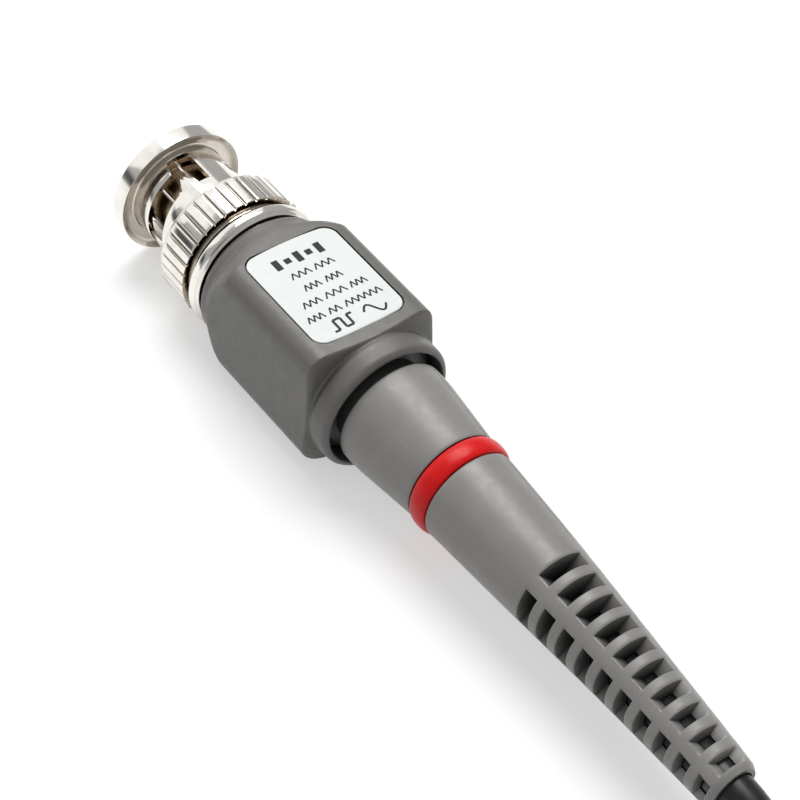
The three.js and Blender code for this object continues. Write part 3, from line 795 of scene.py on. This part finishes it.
# The round shape that the square one is blended with, as distance along the axis and radius.
ROUND_LIMIT = rounded([
    (BOX_FRONT, NECK - 0.35), (BOX_FRONT + 0.3, NECK - 0.1, 0.3), (-9.0, NECK, 0.6),
    (-6.2, 10.6, 0.8), (-5.4, ROOMY), (7.4, ROOMY), (7.85, 11.0, 0.3), (8.35, 8.4, 0.4),
    (8.6, COLLAR - 0.2, 0.4), (9.15, COLLAR, 0.4), (BOX_REAR - 0.4, COLLAR - 0.05, 0.35),
    (BOX_REAR - 0.04, COLLAR - 0.4, 0.2), (BOX_REAR, 7.0)], 0.3, steps=6)


def smooth_max(a, b, blend):
    near = np.maximum(blend - np.abs(a - b), 0) / blend
    return np.maximum(a, b) + near * near * blend / 4


def filleted(a, b):
    """The larger of two distances past a face, with a round fillet where the faces meet."""
    over_a, over_b = a + UNDER_FILLET, b + UNDER_FILLET
    corner = np.hypot(np.maximum(over_a, 0), np.maximum(over_b, 0))
    return corner + np.minimum(np.maximum(over_a, over_b), 0) - UNDER_FILLET


def crowned(across):
    """How far a face of the box stands off the axis, at this distance from the face's middle."""
    return BOX_HALF - CROWN * (across / BOX_HALF) ** 2


def box_radius(x, turn):
    """How far the housing's surface stands off the axis in each direction, found by halving."""
    limit = np.interp(x, *ROUND_LIMIT.T)
    blend = np.interp(limit, [NECK, NECK + 2], [ROUND_BLEND, SHOULDER_BLEND])
    low, high = np.zeros(turn.shape), np.full(turn.shape, ROOMY)
    for _ in range(HALVINGS):
        r = (low + high) / 2
        y, z = np.abs(r * np.sin(turn)), np.abs(r * np.cos(turn))
        flat_z, flat_y = z - crowned(y), y - crowned(z)
        upper = smooth_max(flat_z, flat_y, EDGE_BLEND)
        square = np.where(np.cos(turn) > 0, upper, filleted(flat_z, flat_y))
        outside = smooth_max(square, r - limit, blend) > 0
        low, high = np.where(outside, low, r), np.where(outside, r, high)
    return (low + high) / 2


def box_stations():
    """Stations along the housing, close together where it turns from round to square."""
    steps = [(BOX_FRONT, 0.05, 8), (BOX_FRONT + 0.4, 0.2, 5), (-9.4, 0.13, 32), (-5.2, 1.3, 9),
             (6.6, 0.09, 32), (9.5, 0.25, 6)]
    stations = [start + step * k for start, step, count in steps for k in range(count)]
    stations += [BOX_REAR - back for back in (0.4, 0.3, 0.2, 0.1, 0.04, 0)]
    return np.unique(np.round(stations, 4))


def bowed(y):
    """How much of its length the label has, this far across it."""
    return 1 - LABEL_BOW * (2 * y / LABEL_WIDTH) ** 2 / (LABEL_LENGTH / 2)


def build_housing():
    stations = box_stations()[:, None]
    turn = turns(240)
    inner_r = np.interp(
        stations, [BOX_FRONT, -8.4, -8.39, 8.79, 8.8, BOX_REAR - 0.4, BOX_REAR - 0.1, BOX_REAR],
        [BORE_FRONT, BORE_FRONT, CAVITY, CAVITY, SOCKET_R, SOCKET_R, SOCKET_R + 0.05, SOCKET_R + 0.15])
    outer_r = np.array([box_radius(x, turn) for x in stations[:, 0]])
    housing = make("box_housing", tube(stations, outer_r, inner_r, turn), CONNECTOR)
    recess = rounded_rectangle(LABEL_LENGTH + 2 * LABEL_GAP, LABEL_WIDTH + 2 * LABEL_GAP,
                               LABEL_CORNER + LABEL_GAP)
    recess[:, 0] *= bowed(recess[:, 1])
    cutter = extruded(recess + LABEL_CENTRE, BOX_HALF - LABEL_DEPTH, BOX_HALF + 2)
    carve(housing, make("recess", cutter, CONNECTOR))
    hole = turned([(4, 0), (4, 1.5), (7.25, 1.5), (7.75, 1.95), (9, 1.95), (9, 0)], 48)
    at = (middle("trimmer_screw")[0], *CONNECTOR[1:])
    carve(housing, make("hole", crosswise(hole), at))
    dress(housing, "housing", "compensation_housing")


def build_label():
    """A thin plate made in rows across its width, so that it follows the crown."""
    side = LABEL_WIDTH / 2 - LABEL_CORNER
    arc = LABEL_CORNER * (1 - np.cos(np.linspace(0, math.pi / 2, 9)))
    across = np.concatenate([arc - LABEL_WIDTH / 2, np.linspace(-side, side, 14)[1:-1],
                             LABEL_WIDTH / 2 - arc[::-1]])
    bevel, inset, drop = 0.05, 0.4, np.array([0.03] + 10 * [0.0] + [0.03])
    rings = []
    for y in across:
        past = max(0.0, abs(y) - side)
        curve = math.sqrt(max(0.0, LABEL_CORNER ** 2 - past ** 2))
        reach = (LABEL_LENGTH / 2 - LABEL_CORNER + curve) * bowed(y)
        xs = LABEL_CENTRE[0] + np.array([-reach, bevel - reach, *np.linspace(
            inset - reach, reach - inset, 8), reach - bevel, reach])
        y += LABEL_CENTRE[1]
        top = [(x, y, z) for x, z in zip(xs, crowned(y) - LABEL_SINK - drop)]
        rings.append(top + [(x, y, BOX_HALF - LABEL_DEPTH + 0.06) for x in xs[::-1]])
    add("rating_label", skin(rings), "label", "label_plate")


# Plain scribbles in place of printing, as [x, first y, last y, lengths of the words].
SCRIBBLES = [
    (-2.3, -2.3, 2.75, (2.3, 2.3)),
    (-0.35, -2.1, 2.3, (1.9, 1.9)),
    (1.55, -3.6, 3.9, (2.1, 2.5, 1.9)),
    (3.42, -4.35, 4.35, (1.9, 1.4, 4.3)),
]
SCRIBBLE_PITCH, SCRIBBLE_WIDTH, SCRIBBLE_HEIGHT = 0.72, 0.17, 0.98
BLOCKS, BLOCK_X, BLOCK_FROM, BLOCK_PITCH = 5, -4.4, -2.5, 1.25
BLOCK_HEIGHT, BLOCK_WIDTH = 1.45, 0.72
SQUARE_WAVE = [(6.0, -2.9), (6.0, -2.3), (4.6, -2.3), (4.6, -1.5), (6.0, -1.5), (6.0, -0.7),
               (4.6, -0.7), (4.6, -0.1)]
SQUARE_WIDTH = 0.28
SINE_X, SINE_REACH, SINE_FROM, SINE_LENGTH, SINE_WIDTH = 5.3, 0.7, 1.0, 2.6, 0.24


def ribbon(points, width):
    """A thin printed line of constant width that follows the label's surface."""
    points = np.asarray(points, float)
    along = np.gradient(points, axis=0)
    side = width / 2 * unit(np.column_stack([-along[:, 1], along[:, 0]]))
    edges = []
    for xy, lifts in ((points + side, (INK_ROOT, INK_THICK)), (points - side, (INK_THICK, INK_ROOT))):
        for lift in lifts:
            edges.append(np.column_stack([xy, crowned(xy[:, 1]) - LABEL_SINK + lift]))
    return skin(np.stack(edges, axis=1))


def strokes(points, width):
    """A straight ribbon from each point to the next."""
    points = np.array(points)
    return [ribbon([a, (a + b) / 2, b], width) for a, b in zip(points, points[1:])]


def scribble_rows():
    """Rows of zigzag strokes, broken into words: none of them is a letter."""
    marks = []
    reach = (SCRIBBLE_HEIGHT - SCRIBBLE_WIDTH) / 2
    for x, first, last, words in SCRIBBLES:
        gap = (last - first - sum(words)) / (len(words) - 1)
        y = first
        for word in words:
            count = max(3, 2 * round(word / SCRIBBLE_PITCH))
            marks += strokes([(x + reach * (-1) ** k, y + word * k / count) for k in range(count + 1)],
                             SCRIBBLE_WIDTH)
            y += word + gap
    return marks


def block_row():
    """Bold blocks in a row, tall and short by turns."""
    marks = []
    for k in range(BLOCKS):
        y = BLOCK_FROM + BLOCK_PITCH * k
        reach = BLOCK_HEIGHT / (4 if k % 2 else 2)
        marks.append(ribbon([(BLOCK_X + reach * side, y) for side in (-1, 0, 1)], BLOCK_WIDTH))
    return marks


def wave_marks():
    """A square wave and a sine wave, the plain signs of a test signal."""
    sine = [(SINE_X - SINE_REACH * math.sin(FULL * t), SINE_FROM + SINE_LENGTH * t)
            for t in np.linspace(0, 1, 33)]
    return strokes(SQUARE_WAVE, SQUARE_WIDTH) + [ribbon(sine, SINE_WIDTH)]


def build_print():
    marks = make("label_marks", joined(block_row() + scribble_rows() + wave_marks()), CONNECTOR)
    marks.data.materials.append(FINISH["ink"])
    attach(marks, frame["nodes"]["label_plate"]["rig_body"])


def build_trimmer():
    """The slotted rotor seen down the hole in the side."""
    low, high = corners("trimmer_screw")
    x, _, z = middle("trimmer_screw")
    front, reach, r = high[1], high[1] - low[1], (high[0] - low[0]) / 2
    profile = rounded([(0, 0), (0, r - 0.15), (0.2, r), (reach - 0.15, r), (reach, r - 0.15),
                       (reach, 0)], 0.08)
    rotor = make("trimmer_rotor", crosswise(turned(profile, 64)), (x, low[1], z))
    outline = [(x - 2, front - 0.5), (x + 2, front - 0.5), (x + 2, front + 1), (x - 2, front + 1)]
    carve(rotor, make("slot", extruded(outline, z - 0.2, z + 0.2)))
    dress(rotor, "brass", "trimmer_screw")


# ---- strain relief boot

BOOT_TO = BOOT_REAR + 1.3
BOOT_BORE, MOUTH_BORE, MOUTH_TO = 2.12, 3.4, 16.3
WINDOW_COLUMNS = 21  # columns of a window, from rim to rim
WINDOW_FIRST, WINDOW_PITCH, WINDOW_COUNT, WINDOW_LENGTH = 38.35, 2.6, 10, 1.52
WINDOW_HALF, WINDOW_INNER_HALF = math.radians(33.5), math.radians(20)
WINDOW_SINK = 0.07  # the rim's softened edge
SEAM_MIDDLE, SEAM_REACH, SEAM_HEIGHT = 24.0, 11.5, 0.04  # the parting line ahead of the windows
BOOT_OUTLINE = rounded([
    (BOOT_FRONT, 6.15), (BOOT_FRONT + 0.5, 6.15), (BOOT_FRONT + 0.6, 4.9, 0.1),
    (BOX_REAR + 0.45, 4.9, 0.1), (BOX_REAR + 0.5, 6.1, 0.3), (14, 6.08, 2),
    (RING_FROM - 0.35, 5.28, 0.12), (RING_FROM - 0.12, 5.2, 0.05), (RING_FROM - 0.1, 4.65, 0.05),
    (RING_TO + 0.1, 4.65, 0.05), (RING_TO + 0.12, 5.12, 0.05), (RING_TO + 0.35, 5.16, 0.1),
    (35, 4.6, 4), (48, 3.7, 4), (BOOT_TO - 0.55, 2.82, 0.5), (BOOT_TO, 2.5, 0.3)], 0.2)


def boot_rows():
    """Rows of [outer x, radius, inner x, kind]: kind is 1 on a window's rim, 2 in it, else 0."""
    half = WINDOW_LENGTH / 2
    first = WINDOW_FIRST - half - 0.3
    last = WINDOW_FIRST + WINDOW_PITCH * (WINDOW_COUNT - 1) + half + 0.3
    rows = [(x, r, x, 0) for x, r in BOOT_OUTLINE if x < first or x > last]

    def add(x, inner_x, kind):
        rows.append((x, np.interp(x, *BOOT_OUTLINE.T), inner_x, kind))

    for x in np.arange(10, first, 0.9):
        if abs(x - (RING_FROM + RING_TO) / 2) > 2:
            add(x, x, 0)
    for k in range(WINDOW_COUNT):
        centre = WINDOW_FIRST + WINDOW_PITCH * k
        add(centre, centre, 2)
        for offset, inner, kind in ((half + 0.32, 0.8, 0), (half + 0.1, 0.55, 0), (half, 0.5, 1),
                                    (half * 0.5, 0.25, 2)):
            add(centre - offset, centre - inner, kind)
            add(centre + offset, centre + inner, kind)
    return np.array(sorted(rows))


def boot_columns(half):
    """Angles of the columns round the boot, whose windows reach this far either side of straight."""
    edge, soft, seam = np.radians([45, 1.6, 0.7])
    quarter = np.array([
        -edge, seam - edge, -(edge + half) / 2, -half - soft,
        *np.linspace(-half, half, WINDOW_COLUMNS), half + soft, (edge + half) / 2, edge - seam])
    return np.concatenate([quarter + k * math.pi / 2 for k in range(4)])


def build_boot():
    x, radius, inner_x, kind = boot_rows().T[:, :, None]
    outer_turn, inner_turn = boot_columns(WINDOW_HALF), boot_columns(WINDOW_INNER_HALF)
    window = [1] + (WINDOW_COLUMNS - 2) * [2] + [1]
    columns = np.array(4 * (4 * [0] + window + 3 * [0]))
    rim = (kind > 0) & (columns > 0) & ((kind == 1) | (columns == 1))
    at_seam = np.arange(len(columns)) % (len(columns) // 2) == 0
    on_seam = np.abs(x - SEAM_MIDDLE) < SEAM_REACH
    outer_r = radius - WINDOW_SINK * rim + SEAM_HEIGHT * (on_seam & at_seam)
    inner_r = np.where(x < MOUTH_TO, MOUTH_BORE, BOOT_BORE)
    holes = (kind[:-1] > 0) & (kind[1:] > 0) & (columns > 0) & (np.roll(columns, -1) > 0)
    outer, inner = polar(x, outer_r, outer_turn, lean), polar(inner_x, inner_r, inner_turn, lean)
    add("boot_with_windows", perforated(outer, inner, holes), "boot", "strain_relief_boot")


def build_ring(name, node, at, inner_r, outer_r, sway=None):
    """A colour ring: a band whose outside is domed all the way across."""
    front, rear = ends(node)
    centre, half = (front + rear) / 2 - at[0], (rear - front) / 2
    base = inner_r + 0.12
    profile = [(centre + half, inner_r), (centre - half, inner_r)]
    for angle in np.linspace(0, math.pi, 17):
        profile.append((centre - half * math.cos(angle),
                        base + (outer_r - base) * math.sin(angle) ** 0.75))
    add(name, turned(profile, 128, sway), "ring", node, at)


def build_cable_in_boot():
    xs = np.linspace(7, LEAD_START - 0.05, 60)
    cable = skin(polar(xs[:, None], CABLE_R, turns(32), lean))
    add("cable_core_run", cable, "shaded_jacket", "cable_in_boot")


# ---- the strap round the hank

STRAP_THICK, STRAP_CORNER, STRAP_STEP, STRAP_WOBBLE = 0.8, 3.4, 0.8, 0.06


def build_tie():
    """Hook-and-loop webbing in a rounded loop, with slightly uneven edges."""
    low, high = corners("hank_tie")
    width, length, height = high - low
    loop = rounded_rectangle(length - STRAP_THICK, height - STRAP_THICK, STRAP_CORNER, steps=12)
    even = []
    for a, b in zip(loop, np.roll(loop, -1, axis=0)):
        count = max(1, round(float(np.linalg.norm(b - a)) / STRAP_STEP))
        even += [a + (b - a) * k / count for k in range(count)]
    out = np.gradient([even[-1], *even, even[0]], axis=0)[1:-1]
    out = unit(np.column_stack([out[:, 1], -out[:, 0]]))
    half, side = STRAP_THICK / 2 - 0.02, width / 2 - 0.1
    section = rounded([(-side, -half), (side, -half), (side, half), (-side, half)], 0.25, closed=True)
    rings = []
    for k, (point, normal) in enumerate(zip(even, out)):
        x = section[:, 0] + STRAP_WOBBLE * math.sin(0.9 * k)
        rings.append(np.column_stack([x, point + section[:, 1:] * normal]))
    add("hank_strap", skin(rings, closed=True), "webbing", "hank_tie", middle("hank_tie"))


# ---- probe head: profiles are measured from its rear end

RELIEF_RIBS, RELIEF_PITCH = 5, 2.6
SWITCH_FROM, SWITCH_TO, SWITCH_HALF = 46.9, 54.0, 20.5  # the last in degrees
GRIP_RINGS, GRIP_PITCH, GRIP_FROM = 9, 1.7, 57.5
SHELL_BORE = 3.4
RIDGES, RIDGE_PITCH, RIDGE_HALF, RIDGE_REACH = 5, 0.6, 0.21, 1.3
SPRING_TURNS, SPRING_R, SPRING_WIRE = 7.5, 2.3, 0.3
FLUTES, FLUTE_DEPTH = 20, 0.28
HOOK_R = 0.35
HOOK_LINE = [
    (106.3, 0, 0), (112, 0, 0), (120, 0, 0.1), (125, 0, 0.6), (127.2, 0, 0.9), (128.2, 0, 0.5),
    (128.4, 0, -0.2), (127.8, 0, -0.8), (126.9, 0, -1)]


def build_head_relief():
    """Ribbed rubber sleeve where the lead enters the head."""
    outline = [(0, 2.12), (0, 2.9, 0.2)]
    for k in range(RELIEF_RIBS):
        x = 2.2 + RELIEF_PITCH * k
        r = 2.95 + 0.05 * x
        outline += [(x, r, 0.2), (x + 0.25, r - 0.42, 0.15), (x + 0.85, r - 0.40, 0.15),
                    (x + 1.1, r + 0.03, 0.2)]
    outline += [
        (20.2, 3.9, 0.2), (20.7, 3.45, 0.1), (23.3, 3.45, 0.1), (23.8, 4.05, 0.2), (25.7, 4.2, 0.15),
        (25.7, 3.1, 0.1), (29.5, 3.1, 0.1), (29.5, 2.12)]
    lathe("head_relief_sleeve", outline, "boot", "head_strain_relief", HEAD, 80, 0.1)


def build_barrel():
    """The head's shell: grip rings, a finger guard and the window of the thumb switch."""
    outline = [(26, 4.3, 0.1), (26.15, 4.5, 0.2), (30, 5.0, 1), (36, 5.2, 1.5), (44.6, 5.02, 0.5),
               (45.2, 5.0), (46.4, 4.98)]
    for k in range(9):
        x = SWITCH_FROM + (SWITCH_TO - SWITCH_FROM) * k / 8
        outline.append((x, float(np.interp(x, [44, 56], [5.05, 4.6]))))
    outline += [(54.5, 4.66), (55.6, 4.62)]
    for k in range(GRIP_RINGS):
        x = GRIP_FROM + GRIP_PITCH * k
        r = 4.62 + 0.02 * k
        outline += [(x, r, 0.15), (x + 0.2, r - 0.22, 0.12), (x + 0.62, r - 0.22, 0.12),
                    (x + 0.82, r, 0.15)]
    outline += [
        (74.5, 4.95, 1), (78.3, 5.35, 0.8), (79.9, 6.9, 0.5), (80.6, 7.0, 0.4), (81.9, 7.0, 0.35),
        (82.3, 5.3, 0.3), (82.7, 4.55, 0.2), (84, 4.4, 0.25), (84, 4.1)]
    profile = rounded(outline, 0.0)
    x, r = profile[:, :1], profile[:, 1:]
    turn = turns(120)
    across = np.abs((np.degrees(turn) + 180) % 360 - 180)
    side = (across < SWITCH_HALF) & (np.roll(across, -1) < SWITCH_HALF)
    holes = (x[:-1] > SWITCH_FROM - 0.01) & (x[1:] < SWITCH_TO + 0.01) & side
    add("head_shell", tube(x, r, SHELL_BORE, turn, holes), "housing", "head_barrel", HEAD)


def build_slider():
    """The thumb slider: a domed, ridged button on a stem with a wide foot under the shell."""
    low, high = corners("switch_slider")
    bottom, top = low[2], high[2]
    stem_top = top - 0.55
    root = stem_top - 0.1
    shapes = [extruded(rounded_rectangle(*(high - low)[:2], 0.5), bottom, bottom + 0.45),
              extruded(rounded_rectangle(2.9, 2.7, 0.35), bottom + 0.2, stem_top)]
    for k in range(-(RIDGES // 2), RIDGES // 2 + 1):
        crest = top - 0.1 - 0.02 * abs(k)
        ridge = rounded([(-RIDGE_HALF, root), (-RIDGE_HALF, crest, 0.1), (RIDGE_HALF, crest, 0.1),
                         (RIDGE_HALF, root)], 0.12)
        rings = []
        for y in np.linspace(-RIDGE_REACH, RIDGE_REACH, 9):
            fall = 0.10 * (y / RIDGE_REACH) ** 2
            rings.append([(x + RIDGE_PITCH * k, y, max(z - fall, root)) for x, z in ridge])
        shapes.append(skin(rings))
    at = (*middle("switch_slider")[:2], 0)
    add("thumb_slider", joined(shapes), "black_plastic", "switch_slider", at)


def build_nose():
    """Ground ring, insulator and tip, and the hook with its carrier, spring and sleeve."""
    lathe("ground_barrel", [
        (78, 2.2), (78, 3.1), (84.4, 3.1, 0.1), (84.6, 2.85, 0.1), (85.4, 2.85, 0.1), (85.6, 3.1, 0.1),
        (90.2, 3.1, 0.3), (90.2, 2.2)], "nickel", "ground_ring", HEAD, 80)
    lathe("tip_sheath", [
        (77.5, 0.75), (77.5, 1.9), (97.8, 1.9, 0.5), (99, 1.2, 0.3), (99, 0.75)],
        "black_plastic", "tip_insulator", HEAD, 64)
    lathe("needle_tip", [
        (76.8, 0), (76.8, 0.45), (99.3, 0.45, 0.3), (100.8, 0.1, 0.08), (101, 0)],
        "gold", "probe_tip", HEAD, 40)
    lathe("carrier_body", [
        (106, 0), (106, 2.7, 0.1), (105.7, 3.1, 0.2), (103.2, 3.1, 0.1), (103, 2.9, 0.1),
        (102, 2.9, 0.1), (101.8, 3.1, 0.1), (90.8, 3.1, 0.2), (90.5, 2.8, 0.1), (90.5, 2.2),
        (103, 2.2), (103, 0)], "black_plastic", "hook_carrier", HEAD, 64)
    build_hook_wire()
    build_hook_spring()
    build_hook_sleeve()


def build_hook_wire():
    line = smooth_path(np.array(HOOK_LINE), 0.3)
    rings = swept(line, circle(HOOK_R, 20), up=(0, 1, 0))
    tip = rings[-1].mean(axis=0)
    ahead = unit(line[-1] - line[-2])
    rounding = [tip + (rings[-1] - tip) * math.cos(a) + ahead * HOOK_R * 0.8 * math.sin(a)
                for a in np.radians([25, 50, 70, 85])]
    hook = skin(np.concatenate([rings, rounding]))
    add("grabber_hook", hook, "nickel", "hook_wire", HEAD)


def build_hook_spring():
    """A compression coil whose end turns lie closer together."""
    front, rear = ends("hook_spring")
    share = np.linspace(0, 1, 481)
    advance = share - 0.11 * np.sin(FULL * share)
    angle = FULL * SPRING_TURNS * share
    x = front + SPRING_WIRE + (rear - front - 2 * SPRING_WIRE) * advance - HEAD[0]
    out = np.column_stack([0 * share, np.cos(angle), np.sin(angle)])
    line = np.column_stack([x, SPRING_R * out[:, 1:]])
    side = np.cross(unit(np.gradient(line, axis=0)), out)
    ring = circle(SPRING_WIRE, 12)
    rings = line[:, None] + ring[None, :, :1] * out[:, None] + ring[None, :, 1:] * side[:, None]
    add("sleeve_spring", skin(rings), "steel", "hook_spring", HEAD)


def build_hook_sleeve():
    """The retractable outer sleeve: a flange to pull on, grip flutes and a slim nose."""
    turn = turns(120)
    flute = 0.5 - 0.5 * np.cos(turn * FLUTES)
    outline = rounded([
        (92, 4.6, 0.1), (92.15, 4.8, 0.1), (92.5, 5.95, 0.2), (92.8, 6.2, 0.2), (94.3, 6.2, 0.25),
        (94.8, 5.2, 0.3), (95.4, 4.86, 0.4), (97, 4.8), (98.4, 4.75), (99.6, 4.72), (106, 4.62),
        (107.4, 4.6), (108.6, 4.58), (112, 4.5, 2), (127.5, 2.6, 0.8), (128.9, 2.2, 0.15),
        (129, 2.1)], 0.1)
    x, r = outline[:, :1], outline[:, 1:]
    deep = np.interp(x, [97, 98.4, 107.4, 108.6], [0, FLUTE_DEPTH, FLUTE_DEPTH, 0])
    grip = np.interp(x, [96.9, 97.1, 108.5, 108.7], [0, 1, 1, 0]) * deep
    bore = np.where(x < 117.4, 3.45, 1.7)
    add("pull_sleeve", tube(x, r - grip * flute, bore, turn), "housing", "hook_sleeve", HEAD)


INNER_PARTS = {
    "brass": ["shield_can", "crimp_ferrule"],
    "board": ["circuit_board", "head_board"],
    "component": ["trimmer_body", "shunt_capacitor", "attenuator_capacitor"],
    "resistor": ["termination_resistor", "attenuator_resistor"],
    "gold": ["pin_wire", "core_wire", "switch_wiper"],
    "black_plastic": ["switch_base"],
    "jacket": ["cable_in_head"],
}


def dress_inner_parts():
    """Working parts inside the closed shells keep their CAD shapes and get their own finishes."""
    for finish, names in INNER_PARTS.items():
        for name in names:
            mesh = frame["nodes"][name].data
            mesh.materials.clear()
            mesh.materials.append(FINISH[finish])


# ---- floor and light

FLOOR_SIZE, FLOOR_GLOW, FLOOR_DROP = 6.0, 0.48, 0.05  # the drop in millimetres
WORLD_STRENGTH = 0.44
LIGHTS_AIM = Vector((0.02, 0, 0))
KEY = ((-0.29, 0.16, 0.66), (0.45, 0.4), 3.9)  # place and size in metres, and power in watts
SHEEN = ((-0.9, -0.05, 0.45), (1.6, 1.0), 3.2)
FLAG_DISTANCE, FLAG_SIZE, FLAG_DARKNESS = 0.4, (0.34, 0.13), 0.85
FLAG_TOWARDS = Vector((-0.60, -0.78, 0.14)).normalized()


def card_shape(width, length, z=0.0):
    """A flat card of a size in metres, at a height in millimetres."""
    x, y = width / 2 / MM, length / 2 / MM
    return [(-x, -y, z), (x, -y, z), (x, y, z), (-x, y, z)], [(0, 1, 2, 3)]


def add_floor():
    mat = Recipe("studio_floor", Specular_IOR_Level=0.1, Roughness=0.8,
                    Emission_Color=shade(1.0), Emission_Strength=FLOOR_GLOW)
    colour = mat.vary(mat.noise(60, detail=2.0), shade(0.58), shade(0.62))
    floor = make("studio_floor", card_shape(FLOOR_SIZE, FLOOR_SIZE, -FLOOR_DROP))
    floor.data.materials.append(mat.finish(colour))
    floor.visible_diffuse = False


def aim(thing, place, back):
    """Puts a light or card in place with its own Z along a direction away from what it faces."""
    thing.location = place
    thing.rotation_mode = "QUATERNION"
    thing.rotation_quaternion = back.to_track_quat("Z", "Y")


def add_area(name, place, size, power):
    """A soft box that faces the middle of the object."""
    light = bpy.data.objects.new(name, bpy.data.lights.new(name, "AREA"))
    light.data.shape = "RECTANGLE"
    light.data.size, light.data.size_y = size
    light.data.energy = power
    aim(light, place, Vector(place) - LIGHTS_AIM)
    bpy.context.scene.collection.objects.link(light)
    return light


def add_flag():
    """A dark card with soft edges that only reflections see, for polished metal to mirror."""
    card = make("flag_low", card_shape(*FLAG_SIZE))
    aim(card, Vector(middle("bnc_coupling_nut")) * MM + FLAG_TOWARDS * FLAG_DISTANCE, FLAG_TOWARDS)
    mat = Recipe("flag_low", Roughness=1.0, Specular_IOR_Level=0.0,
                    Base_Color=shade(0.012, (1.3, 1.0, 0.8)))
    centred = mat.stretched((2 / FLAG_SIZE[0], 2 / FLAG_SIZE[1], 1))
    glow = mat.node("TexGradient", {"Vector": centred}, gradient_type="SPHERICAL")
    alpha = mat.span(glow.outputs["Fac"], 0.0, 0.7, 0.0, FLAG_DARKNESS)
    mat.tree.links.new(alpha, mat.shader.inputs["Alpha"])
    card.data.materials.append(mat.material)
    card.visible_camera = False
    card.visible_diffuse = False
    card.visible_shadow = False


def light_scene():
    world = bpy.data.worlds.new("studio")
    world.use_nodes = True
    background = world.node_tree.nodes["Background"]
    background.inputs["Color"].default_value = shade(1.0)
    background.inputs["Strength"].default_value = WORLD_STRENGTH
    bpy.context.scene.world = world
    bpy.context.scene.view_settings.view_transform = "Standard"
    add_area("key", *KEY)
    sheen = add_area("sheen", *SHEEN)
    sheen.visible_diffuse = False
    add_flag()


build_nut()
build_contact_sleeve()
build_connector_core()
build_housing()
build_label()
build_print()
build_trimmer()
build_boot()
build_ring("channel_band", "channel_ring", CONNECTOR, 4.9, 5.5, lean)
build_cable_in_boot()
build_tie()
build_head_relief()
build_ring("head_channel_band", "head_channel_ring", HEAD, 3.72, 4.4)
build_barrel()
build_slider()
build_nose()
dress_inner_parts()
add_floor()
light_scene()
add_camera()
build_lead()
